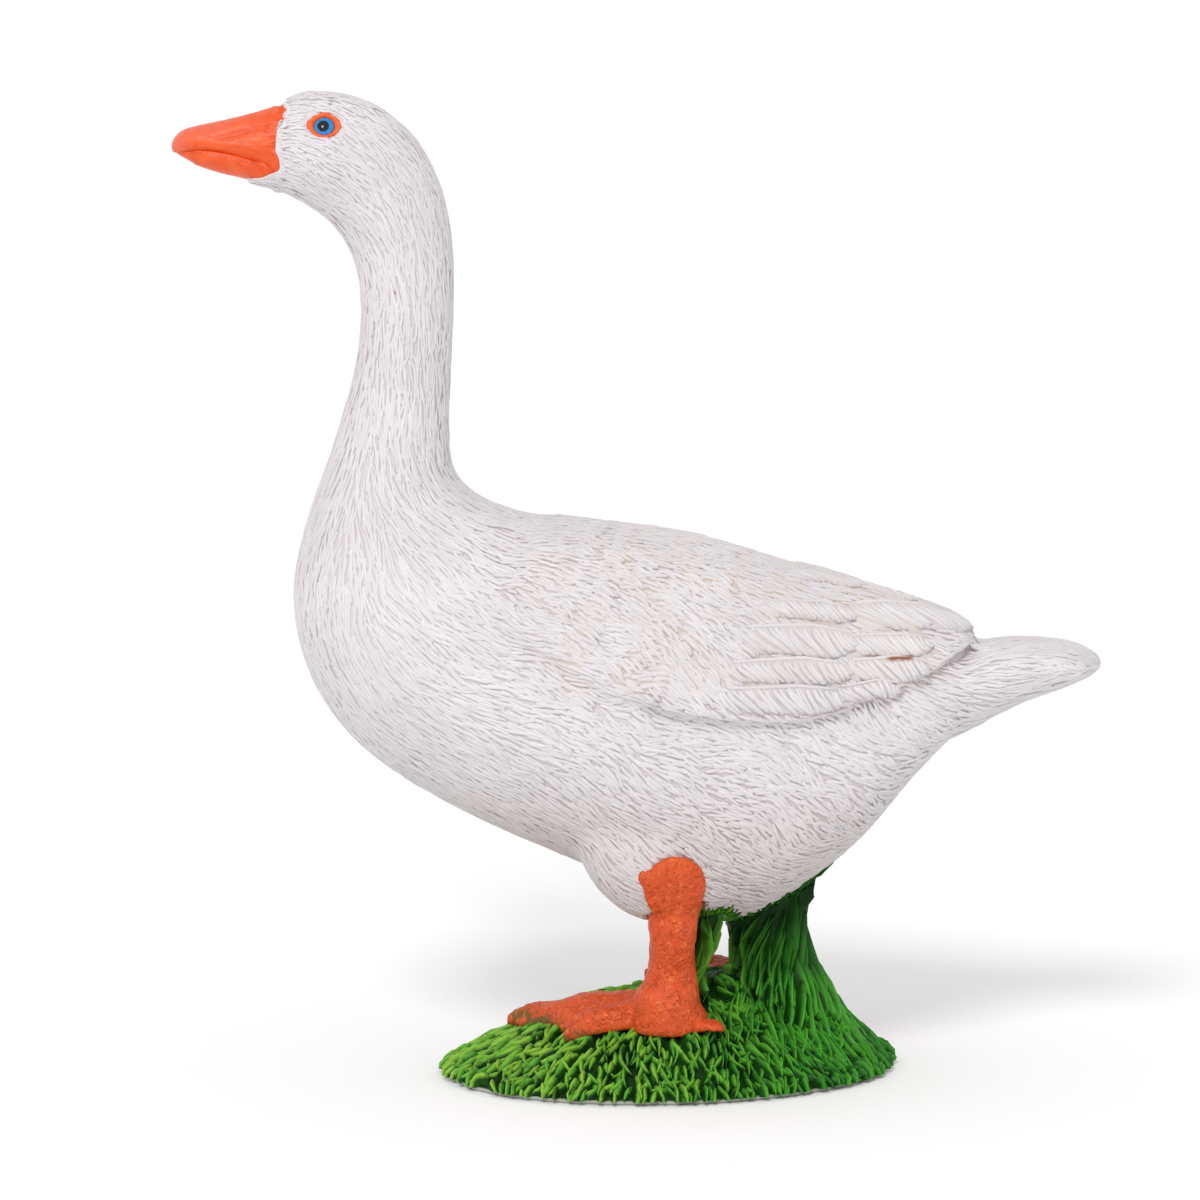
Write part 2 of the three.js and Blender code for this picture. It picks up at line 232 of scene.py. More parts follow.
def feather_paint(name, tooled):
    """White satin paint, with painted shade. On tooled strokes the edges are painted darker than the crests:
    painted shade in the grooves, mixed with some of the toy's wash. The body is also painted darker towards
    the bottom.
    """
    paint = Paint(name, IOR=1.46, Specular_IOR_Level=0.45)
    along, height = paint.axis("X"), paint.axis("Z")
    colour = paint.mix(paint.noise(7 * MM, 3).ramp(0.35, 0.65), WHITE, GREY_WHITE)
    low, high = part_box("wing_left")
    length, depth = high.x - low.x, high.z - low.z
    wing_zone = window(along, low.x + 2 * MM, high.x - 4 * MM, 4 * MM)
    wing_zone = wing_zone * window(height, low.z + 2 * MM, high.z - 1 * MM, 2 * MM)
    beige = paint.noise(2.2 * MM, 3, 0.4).ramp(0.36, 0.56) * (0.16 + 0.84 * wing_zone)
    # Painted shade: the paint and its grooves are darker towards the bottom, below the wings.
    low_down = height.ramp(low.z - 1 * MM, low.z - 15 * MM)
    groove = paint.mix(low_down, GROOVE, BELLY_SHADE_GROOVE)
    colour = paint.mix(low_down * 0.70, colour, BELLY_SHADE_WHITE)
    if tooled:
        grooved = at_most_one(1 - paint.attribute("crest"))
        colour = paint.mix(beige * 0.12, colour, WASH)
        colour = paint.mix(paint.attribute("tone") * 0.36, colour, DULL_WHITE)
        # Painted shade: the strokes' low edges take the darker groove colour, and the beige wash.
        colour = paint.mix(grooved * 0.92, colour, paint.mix(beige * 0.90, groove, WASH))
    else:
        # Painted shade: the skin, which shows only between the strokes, takes the darker groove colour, more
        # so low down.
        colour = paint.mix(0.30 + 0.2 * low_down, colour, groove)
        colour = paint.mix(beige * 0.55, colour, WASH)
        # The bill's paint runs on over the head as far as the feathers' edge.
        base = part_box("bill_upper")[1].x
        colour = paint.mix(along.ramp(base + 0.34 * MM, base + 0.26 * MM), colour, BILL_ORANGE)
    # A slip of brown in a groove of the near wing, and a few brown specks.
    ragged = paint.noise(0.45 * MM, 2).ramp(0.30, 0.42)
    slip = window(along, low.x + 0.803 * length, low.x + 0.858 * length, 0.35 * MM) * ragged
    slip = slip * window(height, low.z + 0.285 * depth, low.z + 0.305 * depth, 0.14 * MM)
    slip = slip * paint.axis("Y").ramp(0.0, -1 * MM)
    specks = paint.noise(0.9 * MM, 1).ramp(0.79, 0.85)
    colour = paint.mix(at_most_one(slip + specks), colour, STAIN)
    roughness = 0.34 + 0.2 * paint.noise(0.8 * MM, 3)
    return paint.done(colour, roughness, paint.noise(0.14 * MM, 3), 0.02 * MM, 0.5)


def bill_paint():
    """Orange paint, with a painted pink sheen on the tip and the ridge, and painted shade in the grooves and
    in the low parts of its fine relief.
    """
    paint = Paint("bill_orange_paint", IOR=1.46, Specular_IOR_Level=0.4)
    along, height = paint.axis("X"), paint.axis("Z")
    low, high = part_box("bill_upper")
    cloudy = paint.noise(1.2 * MM, 3)
    colour = paint.mix(cloudy.ramp(0.3, 0.7), BILL_ORANGE, (0.76, 0.085, 0.012))
    # A painted pink sheen, a painted highlight, on the tip and along the top ridge.
    tip = along.ramp(low.x + 2.2 * MM, low.x - 0.4 * MM) * height.ramp(low.z + 0.6 * MM, low.z + 1.6 * MM)
    ridge = height.ramp(high.z - 3.3 * MM, high.z - 1.9 * MM) * along.ramp(high.x - 0.5 * MM, low.x + 3 * MM)
    pink_sheen = at_most_one(tip + ridge * 0.5) * cloudy.ramp(0.05, 0.65)
    colour = paint.mix(pink_sheen * 0.7, colour, (0.82, 0.20, 0.15))
    streaks = paint.noise(0.30 * MM, 3, 0.5, paint.stretched((0.28, 1.0, 1.0)))
    lines = paint.hairlines(0.75 * MM, 0.8 * MM, paint.stretched((0.45, 1.0, 1.0)))
    # Painted shade in the low parts of the streaks and hairlines, where the relief also sinks.
    colour = paint.mix(streaks.ramp(0.42, 0.30) * 0.2 + lines * 0.06, colour, (0.55, 0.05, 0.010))
    # Painted shade along the mouth line, in the nostrils and in the groove under the lower half's rim.
    colour = paint.mix(paint.attribute("groove") * 0.55, colour, (0.42, 0.030, 0.008))
    return paint.done(colour, 0.30 + 0.15 * cloudy, streaks - lines * 0.3, 0.07 * MM, 0.9)


def leg_paint():
    """Red-orange paint, with painted shade in the creases of its fine relief, painted highlights on its
    raised flecks, and green overspray from the grass on the ends of the toes.
    """
    paint = Paint("leg_orange_paint", IOR=1.46, Specular_IOR_Level=0.4)
    along, height = paint.axis("X"), paint.axis("Z")
    cloudy = paint.noise(1.8 * MM, 3)
    colour = paint.mix(cloudy.ramp(0.3, 0.7), (0.69, 0.088, 0.013), (0.60, 0.068, 0.009))
    creases = paint.noise(0.45 * MM, 4, 0.8)
    lines = paint.hairlines(0.85 * MM, 0.7 * MM)
    # Painted shade in the low creases and hairlines of the relief.
    colour = paint.mix(creases.ramp(0.44, 0.28) * 0.25 + lines * 0.12, colour, (0.40, 0.030, 0.006))
    # Painted highlights: light orange flecks on the raised parts of the relief.
    colour = paint.mix(creases.ramp(0.56, 0.68) * 0.50, colour, (0.87, 0.22, 0.050))
    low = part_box("foot_left")[0]
    over_toes = along.ramp(low.x + 4.6 * MM, low.x + 1.6 * MM)
    over_toes = over_toes * height.ramp(low.z + 2.1 * MM, low.z + 1.2 * MM)
    near_grass = height.ramp(low.z + 1.5 * MM, low.z + 0.4 * MM) * 0.8
    green = at_most_one(over_toes + near_grass) * paint.noise(0.8 * MM, 3).ramp(0.40, 0.52)
    colour = paint.mix(green * 0.85, colour, (0.11, 0.10, 0.018))
    return paint.done(colour, 0.32 + 0.2 * cloudy, creases - lines * 0.4, 0.18 * MM, 1.0)


def ring_paint():
    paint = Paint("eye_ring_paint", IOR=1.46)
    cloudy = paint.noise(0.5 * MM, 3)
    colour = paint.mix(cloudy.ramp(0.3, 0.7), (0.88, 0.13, 0.018), (0.76, 0.09, 0.012))
    return paint.done(colour, 0.35 + 0.15 * cloudy, cloudy, 0.03 * MM, 0.5)


def eye_paint():
    """Iris, pupil and a painted glint, on the eye's own flat coordinates, which are in millimetres."""
    paint = Paint("eye_blue_paint", IOR=1.46, Specular_IOR_Level=0.2)
    flat = paint.attribute("eye_place", "Vector")
    ahead, up = paint.axis("X", flat), paint.axis("Y", flat)
    in_metres = paint.stretched((MM, MM, MM), flat)
    ragged = paint.noise(0.25 * MM, 2, at=in_metres)

    def reach(centre_ahead, centre_up, long=1.0, high=1.0):
        x = (ahead - centre_ahead) * (1 / long)
        y = (up - centre_up) * (1 / high)
        return (x * x + y * y).math("SQRT") + (ragged - 0.5) * 0.10

    strokes = paint.noise(0.18 * MM, 3, at=in_metres)
    colour = paint.mix(strokes.ramp(0.3, 0.7), (0.006, 0.17, 0.52), (0.015, 0.29, 0.70))
    colour = paint.mix(reach(0.05, 0.03, *EYE_OPENING).ramp(0.90, 1.02), colour, (0.14, 0.05, 0.09))
    colour = paint.mix(reach(0.10, 0.03).ramp(0.52, 0.46), colour, (0.004, 0.004, 0.008))
    colour = paint.mix(reach(0.14, -0.03).ramp(0.12, 0.05), colour, (0.42, 0.45, 0.48))
    return paint.done(colour, 0.42 + 0.1 * strokes)


def grass_paint(name, bladed):
    """Dark green, dry-brushed yellow-green on the raised tips, with painted light: brighter at the front of
    the mound, and lighter on the front clump, which lies in shade.
    """
    paint = Paint(name, IOR=1.46, Specular_IOR_Level=0.16)
    along, height = paint.axis("X"), paint.axis("Z")
    cloudy = paint.noise(3 * MM, 3)
    low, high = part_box("mound")
    # Painted light: towards the front of the mound the blades are painted brighter and more dry-brushed.
    front = along.ramp(high.x - 6 * MM, low.x + 10 * MM)
    low_down = height.ramp(high.z + 3 * MM, high.z - 2 * MM)
    if bladed:
        deep = paint.mix(cloudy.ramp(0.3, 0.7), (0.003, 0.026, 0.002), (0.010, 0.072, 0.006))
        tone = paint.attribute("tone")
        fresh = paint.mix(front, (0.075, 0.36, 0.025), (0.26, 0.52, 0.050))
        dull = paint.mix(front, (0.035, 0.25, 0.020), (0.13, 0.42, 0.040))
        fresh = paint.mix((tone * 0.7 + cloudy * 0.6).ramp(0.35, 0.85), dull, fresh)
        brushed = paint.attribute("crest").ramp(0.45, 1.0) * paint.attribute("share").ramp(-0.25, 0.6)
        brushed = brushed * (paint.noise(0.8 * MM, 2) + 0.6 * cloudy + 0.35 * tone).ramp(0.50, 0.95)
        clump_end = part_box("grass_clump_front")[1].x
        front_clump = along.ramp(clump_end + 0.6 * MM, clump_end)
        on_mound = height.ramp(high.z + 2.5 * MM, high.z + 0.5 * MM).math("MAXIMUM", front_clump)
        # Painted light: the front clump, which lies in shade under the body, is painted lighter.
        deep = paint.mix(front_clump * height.ramp(high.z, high.z + 1.5 * MM) * 0.25, deep, fresh)
        colour = paint.mix(brushed * (0.24 + 0.48 * on_mound + 0.2 * low_down + 0.24 * front), deep, fresh)
    else:
        colour = paint.mix(cloudy.ramp(0.3, 0.7), (0.003, 0.024, 0.002), (0.007, 0.045, 0.003))
        rim = height.ramp(0.42 * MM, 0.28 * MM) * paint.noise(1.5 * MM, 2).ramp(0.25, 0.45)
        colour = paint.mix(rim, colour, (0.42, 0.44, 0.38))
    return paint.done(colour, 0.38 + 0.25 * cloudy, paint.noise(0.3 * MM, 3), 0.05 * MM, 0.6)


# ---------------------------------------------------------------- mesh helpers


def only(obj):
    """Selects obj and nothing else, and makes it active."""
    for other in bpy.context.view_layer.objects:
        other.select_set(False)
    obj.select_set(True)
    bpy.context.view_layer.objects.active = obj


def modified(obj, kind, **settings):
    """Adds a modifier and applies it."""
    only(obj)
    modifier = obj.modifiers.new(kind, kind)
    for key, value in settings.items():
        setattr(modifier, key, value)
    bpy.ops.object.modifier_apply(modifier=modifier.name)


VOXELS = {"skin": 0.34 * MM, "bill": 0.10 * MM, "leg": 0.15 * MM, "mound": 0.36 * MM, "clump": 0.25 * MM}


def remeshed(obj, part):
    modified(obj, "REMESH", mode="VOXEL", voxel_size=VOXELS[part])


def swollen(obj, by):
    modified(obj, "DISPLACE", strength=by, mid_level=0)


def smoothed(obj, times, weights=None, factor=0.5):
    """Smooths a piece all over, or as much as the weights say."""
    group = obj.vertex_groups.new(name="smoothed")
    if weights is not None:
        for index in np.flatnonzero(weights > 0.01):
            group.add([int(index)], float(weights[index]), "REPLACE")
    where = "" if weights is None else group.name
    modified(obj, "SMOOTH", factor=factor, iterations=times, vertex_group=where)
    obj.vertex_groups.clear()


def filled(mesh, made):
    """The mesh, with what bmesh made in it."""
    made.to_mesh(mesh)
    made.free()
    return mesh


def rounded_copy(name, nodes, sharp):
    """One mesh made from copies of CAD nodes, with its sharp edges creased and the others rounded."""
    made = bmesh.new()
    for node in nodes:
        made.from_mesh(frame["nodes"][node].data)
    bmesh.ops.remove_doubles(made, verts=made.verts, dist=0.004 * MM)
    crease = made.edges.layers.float.new("crease_edge")
    for edge in made.edges:
        if edge.is_manifold and edge.calc_face_angle() > math.radians(sharp):
            edge[crease] = 1
    obj = linked(name, filled(bpy.data.meshes.new(name), made))
    modified(obj, "SUBSURF", levels=2, render_levels=2)
    return obj


def read(items, name, size, kind=float):
    """A property of all of a mesh's vertices, faces or corners, as an array with size columns."""
    found = np.empty(len(items) * size, kind)
    items.foreach_get(name, found)
    return found.reshape(-1, size)


def positions(obj):
    return read(obj.data.vertices, "co", 3)


def vertex_normals(obj):
    return read(obj.data.vertex_normals, "vector", 3)


def moved(obj, places):
    obj.data.vertices.foreach_set("co", places.ravel())
    obj.data.update()


def smoothstep(values, low, high):
    share = np.clip((values - low) / (high - low), 0, 1)
    return share * share * (3 - 2 * share)


def unit(vectors):
    return vectors / np.maximum(np.linalg.norm(vectors, axis=-1, keepdims=True), 1e-12)


def mesh_piece(name, vertices, loops, starts, attributes, uv=None, sharp=None):
    """A mesh object from arrays: loops are vertex indices, and starts say where each face's loops begin."""
    mesh = bpy.data.meshes.new(name)
    mesh.vertices.add(len(vertices))
    mesh.vertices.foreach_set("co", np.asarray(vertices, np.float32).ravel())
    mesh.loops.add(len(loops))
    mesh.loops.foreach_set("vertex_index", np.asarray(loops, np.int32))
    mesh.polygons.add(len(starts))
    mesh.polygons.foreach_set("loop_start", np.asarray(starts, np.int32))
    mesh.update(calc_edges=True)
    mesh.validate()
    for key, values in attributes.items():
        kind, field = ("FLOAT", "value") if values.ndim == 1 else ("FLOAT_VECTOR", "vector")
        layer = mesh.attributes.new(key, kind, "POINT")
        layer.data.foreach_set(field, values.astype(np.float32).ravel())
    if uv is not None:
        mesh.uv_layers.new(name="OFBake").data.foreach_set("uv", np.asarray(uv, np.float32).ravel())
    mesh.shade_smooth()
    if sharp:
        mesh.set_sharp_from_angle(angle=math.radians(sharp))
    return linked(name, mesh)


def painted_as(count, crest, share, tone):
    """The attributes that feather paint reads, each a number or an array of count numbers."""
    values = {"crest": crest, "share": share, "tone": tone}
    return {name: np.zeros(count) + value for name, value in values.items()}


def hoop_piece(name, vertices, attributes, roots=None):
    """A closed hoop from vertices (around, section, 3)."""
    around, section = vertices.shape[:2]
    here, ahead = np.arange(around)[:, None] * section, np.roll(np.arange(around), -1)[:, None] * section
    spot, following = np.arange(section)[None], np.roll(np.arange(section), -1)[None]
    loops = np.stack([here + spot, ahead + spot, ahead + following, here + following], -1).ravel()
    uv = None if roots is None else roots.reshape(-1, 2)[loops]
    starts = np.arange(0, len(loops), 4)
    return outward(mesh_piece(name, vertices.reshape(-1, 3), loops, starts, attributes, uv))


def outward(obj):
    """Turns a closed piece's faces outwards."""
    made = bmesh.new()
    made.from_mesh(obj.data)
    bmesh.ops.recalc_face_normals(made, faces=made.faces)
    filled(obj.data, made)
    return obj


def finished(obj, paint, slot, *nodes):
    """Gives a piece its paint and its body, and hides the CAD nodes that it stands for. The slot is not
    used.
    """
    obj.data.materials.clear()
    obj.data.materials.append(paint)
    if nodes:
        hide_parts(*nodes)
    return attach(obj, "root")


class Surface:
    """The outside of one or more pieces, to find places on."""

    def __init__(self, *objects):
        places, faces = [], []
        for obj in objects:
            base = len(places)
            places += [v.co.copy() for v in obj.data.vertices]
            faces += [tuple(base + i for i in p.vertices) for p in obj.data.polygons]
        self.tree = BVHTree.FromPolygons(places, faces)

    def nearest(self, points):
        """The nearest places, their face normals and face numbers, for an array of points."""
        places = np.empty((len(points), 3))
        normals = np.empty((len(points), 3))
        faces = np.empty(len(points), int)
        find = self.tree.find_nearest
        for index, point in enumerate(points):
            places[index], normals[index], faces[index], _ = find(point)
        return places, normals, faces


def unwrapped_centres(obj):
    """Unwraps a piece by its own shape and gives the middle of each face on that unwrap."""
    only(obj)
    bpy.ops.object.mode_set(mode="EDIT")
    bpy.ops.mesh.select_all(action="SELECT")
    bpy.ops.uv.smart_project(angle_limit=math.radians(66), island_margin=0.004)
    bpy.ops.object.mode_set(mode="OBJECT")
    corners = read(obj.data.uv_layers.active.data, "uv", 2)
    starts = read(obj.data.polygons, "loop_start", 1, int)[:, 0]
    return np.add.reduceat(corners, starts) / read(obj.data.polygons, "loop_total", 1, int)


# ---------------------------------------------------------------- strokes

RINGS = 4                # sections between the two tips of a stroke
CORNERS = 4              # of a section: two low ones and the two edges of its flat top
PATCH = 0.0015           # half of a stroke's patch on the OFBake map
SUNK = 0.05 * MM
TOP = 0.48               # width of a stroke's flat top as a share of its whole width
STROKE_SECTIONS = (0, 0.09, 0.32, 0.64, 0.91, 1)     # shares of a blunt stroke's length


def stroke_faces():
    """Faces of one stroke: corner lists into its vertices, which are two tips and RINGS sections."""
    rings = np.arange(CORNERS * RINGS).reshape(RINGS, CORNERS) + 2
    faces = []
    for corner in range(CORNERS):
        line, following = rings[:, corner], rings[:, (corner + 1) % CORNERS]
        faces.append([0, following[0], line[0]])
        faces.append([1, line[-1], following[-1]])
        for index in range(RINGS - 1):
            faces.append([line[index], following[index], following[index + 1], line[index + 1]])
    return faces


STROKE_FACES = stroke_faces()
STROKE_VERTICES = 2 + CORNERS * RINGS


def blunted(values):
    """Paths or normals with their sections moved towards the two ends, so that strokes have short ends."""
    at = np.array(STROKE_SECTIONS) * (values.shape[1] - 1)
    before = np.minimum(at.astype(int), values.shape[1] - 2)
    part = (at - before)[None, :, None]
    return values[:, before] * (1 - part) + values[:, before + 1] * part


def strokes_piece(name, paths, ups, widths, heights, uv_roots, profile, lifts, crease=80, top=TOP, soft=0.0):
    """Closed strokes along paths (count, RINGS + 2, 3).

    profile gives each section's share of the width. lifts says how far the tips rise, as a share of the
    heights. soft is the crest value of the low edges, which the paint reads: the lower it is, the darker
    the painted shade in the groove between strokes, darkest below 0.
    """
    count = len(paths)
    tangents = unit(np.gradient(paths, axis=1))
    sides = unit(np.cross(tangents, ups))
    ups = unit(np.cross(sides, tangents))
    share = np.linspace(0, 1, RINGS + 2)
    half = widths[:, None] * np.asarray(profile)[None, :] / 2
    rise = heights[:, None] * (0.4 + 0.6 * np.asarray(profile)[None, :])
    lift = heights[:, None] * np.asarray(lifts).reshape(-1, 1) * share[None, :] ** 2
    skew = RANDOM.uniform(-0.25, 0.25, count)[:, None] * half
    low = paths + ups * (lift - SUNK)[..., None]
    crest = paths + ups * (rise + lift)[..., None] + sides * skew[..., None]
    vertices = np.empty((count, STROKE_VERTICES, 3))
    vertices[:, 0] = paths[:, 0] - ups[:, 0] * SUNK
    vertices[:, 1] = paths[:, -1] + ups[:, -1] * (lift[:, -1:] + 0.1 * heights[:, None])
    edge, top_edge = sides * half[..., None], sides * (top * half)[..., None]
    soft = np.asarray(soft).reshape(-1, 1)
    corners = ((low - edge, soft), (crest - top_edge, 1), (crest + top_edge, 1), (low + edge, soft))
    crests = np.zeros((count, STROKE_VERTICES))
    shares = np.zeros((count, STROKE_VERTICES))
    local = np.zeros((STROKE_VERTICES, 2))
    crests[:, 1] = 0.5
    shares[:, 1] = 1
    for corner, (places, value) in enumerate(corners):
        vertices[:, 2 + corner::CORNERS] = places[:, 1:-1]
        crests[:, 2 + corner::CORNERS] = value
        shares[:, 2 + corner::CORNERS] = share[1:-1]
        local[2 + corner::CORNERS, 1] = corner * 2 / (CORNERS - 1) - 1
    local[:, 0] = shares[0] * 2 - 1
    tones = np.repeat(RANDOM.random(count)[:, None], STROKE_VERTICES, 1)
    template = np.concatenate(STROKE_FACES)
    sizes = np.array([len(face) for face in STROKE_FACES])
    starts = np.concatenate([[0], np.cumsum(sizes)[:-1]])
    loops = (template[None, :] + STROKE_VERTICES * np.arange(count)[:, None]).ravel()
    starts = (starts[None, :] + len(template) * np.arange(count)[:, None]).ravel()
    patch = uv_roots[:, None, :] + PATCH * local[template][None, :, :]
    attributes = {"crest": crests.ravel(), "share": shares.ravel(), "tone": tones.ravel()}
    return mesh_piece(name, vertices.reshape(-1, 3), loops, starts, attributes, patch.reshape(-1, 2), crease)


def scattered(obj, per_face):
    """Random points on a piece's faces, with their normals and face numbers."""
    mesh = obj.data
    quads = np.array([[*p.vertices][:4] if len(p.vertices) > 3 else [*p.vertices, p.vertices[2]]
                      for p in mesh.polygons])
    chosen = np.repeat(np.arange(len(quads)), per_face)
    corners = positions(obj)[quads[chosen]]
    across, along = RANDOM.random((2, len(chosen), 1))
    first = corners[:, 0] * (1 - across) + corners[:, 1] * across
    second = corners[:, 3] * (1 - across) + corners[:, 2] * across
    return first * (1 - along) + second * along, read(mesh.polygons, "normal", 3)[chosen], chosen


def picked(which, *arrays):
    return [array[which] for array in arrays]


def spaced(points, normals, directions, along, across):
    """Picks points so that none lies in another's ellipse, along by across, which follows its direction."""
    sides = np.cross(normals, directions)
    along, across = np.broadcast_to(along, len(points)), np.broadcast_to(across, len(points))
    tree = KDTree(len(points))
    for index, point in enumerate(points):
        tree.insert(point, index)
    tree.balance()
    alive = np.ones(len(points), bool)
    kept = []
    for index in RANDOM.permutation(len(points)):
        if not alive[index]:
            continue
        kept.append(index)
        near = np.array([found for _, found, _ in tree.find_range(points[index], along[index])])
        offset = points[near] - points[index]
        far = (offset @ directions[index] / along[index]) ** 2
        far += (offset @ sides[index] / across[index]) ** 2
        alive[near[far < 1]] = False
    return np.array(kept)


PROUD = 0.12 * MM        # a path is looked for from this far above the surface, so it stays on the outermost


def turned(way, normals, angles):
    return way * np.cos(angles)[:, None] + np.cross(normals, way) * np.sin(angles)[:, None]


def traced(surface, starts, normals, heading, lengths, bend):
    """Walks each start over the surface along heading(points, normals), turning by bend on the way."""
    steps = RINGS + 1
    paths, ups = [starts], [normals]
    here, up = starts, normals
    for step in range(steps):
        way = turned(heading(here, up), up, bend * (step / steps))
        here, up, _ = surface.nearest(here + way * (lengths / steps)[:, None] + up * PROUD)
        paths.append(here)
        ups.append(up)
    return np.stack(paths, 1), np.stack(ups, 1)


def waved(paths, ups, size):
    """The paths with a slight sideways wave, as a modelling tool leaves."""
    share = np.linspace(0, 1, paths.shape[1])
    sides = unit(np.cross(unit(np.gradient(paths, axis=1)), ups))
    phase = RANDOM.uniform(0, math.tau, len(paths))[:, None]
    turns = RANDOM.uniform(0.5, 1.3, len(paths))[:, None]
    wave = np.sin(math.tau * turns * share[None] + phase) * np.broadcast_to(size, len(paths))[:, None]
    return paths + sides * wave[..., None]


def levelled(way, normals):
    """way laid into the planes across normals, as unit vectors."""
    return unit(way - normals * np.sum(way * normals, -1, keepdims=True))


# ---------------------------------------------------------------- the lie of the feathers

# Guides on each CAD node: place on it seen from the side as shares of its box, the way the strokes run
# (degrees: 0 tailward, -90 down), stroke length in mm, and how far neighbouring patches differ in degrees.
GUIDES = {
    "head": (
        (0.05, 0.65, -12, 1.0, 10), (0.13, 0.92, 12, 1.2, 8), (0.35, 0.90, -5, 1.3, 8),
        (0.57, 0.86, -38, 1.5, 8), (0.74, 0.73, -45, 1.8, 8), (0.32, 0.55, -27, 1.3, 10),
        (0.58, 0.53, -42, 1.7, 10), (0.79, 0.37, -60, 2.2, 8), (0.95, 0.58, -57, 2.2, 8),
        (0.02, 0.42, -25, 1.2, 8), (0.26, 0.33, -28, 1.8, 8), (0.53, 0.25, -45, 2.1, 8),
        (0.63, 0.07, -62, 2.6, 6),
    ),
    "neck": (
        (0.86, 0.79, -75, 2.6, 7), (0.61, 0.75, -70, 2.8, 7), (0.19, 0.60, -78, 3.1, 6),
        (0.55, 0.60, -83, 3.0, 7), (0.91, 0.55, -88, 3.1, 6), (0.50, 0.40, -90, 3.2, 7),
        (0.10, 0.30, -97, 3.4, 6), (0.90, 0.28, -90, 3.2, 6), (0.50, 0.15, -93, 3.2, 7),
    ),
    "trunk": (
        (0.05, 0.92, -104, 3.2, 6), (0.12, 0.97, -93, 3.2, 7), (0.20, 0.97, -80, 2.8, 8),
        (0.25, 0.90, -45, 2.4, 10), (0.33, 0.83, -18, 2.0, 12), (0.45, 0.82, -8, 1.6, 14),
        (0.17, 0.88, -65, 3.0, 8), (0.22, 0.85, -50, 2.6, 10), (0.13, 0.80, -75, 3.1, 8),
        (0.19, 0.76, -55, 2.7, 10), (0.25, 0.74, -40, 2.2, 14), (0.30, 0.70, -35, 1.7, 18),
        (0.02, 0.77, -97, 3.2, 6), (0.08, 0.70, -78, 3.1, 8), (0.16, 0.66, -50, 2.8, 10),
        (0.25, 0.62, -28, 2.2, 14), (0.33, 0.60, -15, 1.9, 16), (0.01, 0.63, -88, 3.2, 6),
        (0.06, 0.56, -62, 3.1, 8), (0.13, 0.54, -42, 3.0, 8), (0.22, 0.51, -30, 2.5, 12),
        (0.30, 0.53, -22, 2.0, 16), (0.08, 0.46, -48, 3.0, 8), (0.20, 0.38, -34, 2.8, 9),
        (0.32, 0.40, -26, 2.2, 14), (0.42, 0.40, -30, 1.8, 18), (0.48, 0.31, -48, 1.8, 18),
        (0.55, 0.42, -12, 1.8, 18), (0.61, 0.40, -8, 1.7, 18), (0.68, 0.33, -12, 1.7, 18),
        (0.58, 0.28, -30, 1.7, 18), (0.64, 0.26, -35, 1.6, 18), (0.71, 0.27, -50, 1.7, 16),
        (0.74, 0.40, -40, 1.6, 20), (0.80, 0.37, -25, 1.7, 18), (0.45, 0.24, -50, 2.2, 12),
        (0.42, 0.19, -40, 2.6, 8), (0.48, 0.10, -35, 2.2, 10), (0.63, 0.19, -45, 1.5, 18),
        (0.69, 0.19, -55, 1.6, 16), (0.64, 0.12, -35, 1.4, 18), (0.76, 0.14, -20, 1.5, 16),
        (0.80, 0.26, -35, 1.7, 16), (0.86, 0.36, -20, 1.8, 16), (0.83, 0.46, -55, 1.7, 14),
        (0.89, 0.44, -42, 2.0, 12), (0.94, 0.49, -25, 2.2, 10),
    ),
    "tail": (
        (0.05, 0.35, -25, 2.2, 14), (0.15, 0.85, 2, 2.8, 5), (0.50, 0.55, 2, 2.2, 16),
        (0.85, 0.75, -6, 1.8, 14), (0.60, 0.90, 2, 2.6, 5), (0.30, 0.15, 20, 2.8, 8),
    ),
    "wing_left": (
        (0.10, 0.75, -24, 1.6, 18), (0.08, 0.35, -24, 1.7, 18), (0.25, 0.60, -32, 1.5, 20),
        (0.25, 0.25, -10, 1.7, 18), (0.40, 0.55, -42, 1.7, 16), (0.40, 0.30, -45, 1.7, 14),
        (0.30, 0.90, -16, 1.8, 12), (0.55, 0.80, -24, 2.0, 10), (0.75, 0.62, -22, 2.2, 10),
    ),
}


class Lie:
    """Which way the strokes run, how long they are, and how much patches differ, from the guides."""

    def __init__(self):
        spots, ways, sizes = [], [], []
        for node, guides in GUIDES.items():
            low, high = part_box(node)
            for share_x, share_z, degrees, length, scatter in guides:
                spots.append((low.x + share_x * (high.x - low.x), low.z + share_z * (high.z - low.z)))
                ways.append((math.cos(math.radians(degrees)), math.sin(math.radians(degrees))))
                sizes.append((length * MM, math.radians(scatter)))
        self.spots, self.ways, self.sizes = np.array(spots), np.array(ways), np.array(sizes)
        patches = RANDOM.uniform(CAD_BOX[0], CAD_BOX[1], (30000, 3))
        self.patch_turns = RANDOM.uniform(-1, 1, len(patches))
        self.patches = KDTree(len(patches))
        for index, point in enumerate(patches):
            self.patches.insert(point, index)
        self.patches.balance()

    def weights(self, points):
        gap = points[:, None, [0, 2]] - self.spots[None]
        weights = 1 / (np.sum(gap * gap, -1) + (0.8 * MM) ** 2) ** 1.6
        return weights / weights.sum(1, keepdims=True)

    def heading(self, points, normals):
        way = self.weights(points) @ self.ways
        flat = np.stack([way[:, 0], np.zeros(len(way)), way[:, 1]], 1)
        return levelled(flat, normals)

    def sizes_at(self, points):
        """Stroke lengths, and how far patches differ."""
        return (self.weights(points) @ self.sizes).T

    def patch_turn(self, points):
        return np.array([self.patch_turns[self.patches.find(point)[1]] for point in points])


# ---------------------------------------------------------------- the goose's skin

FLESH = ("head", "neck", "trunk", "tail", "wing_left", "wing_right", "thigh_left", "thigh_right")
SEAM = 0.12 * MM          # more than half of the cuts that part the solids
COAT = 0.10 * MM
SMOOTHING = {"wing_fronts": 45, "shoulders": 160, "thighs": 25, "all over": 7}     # times


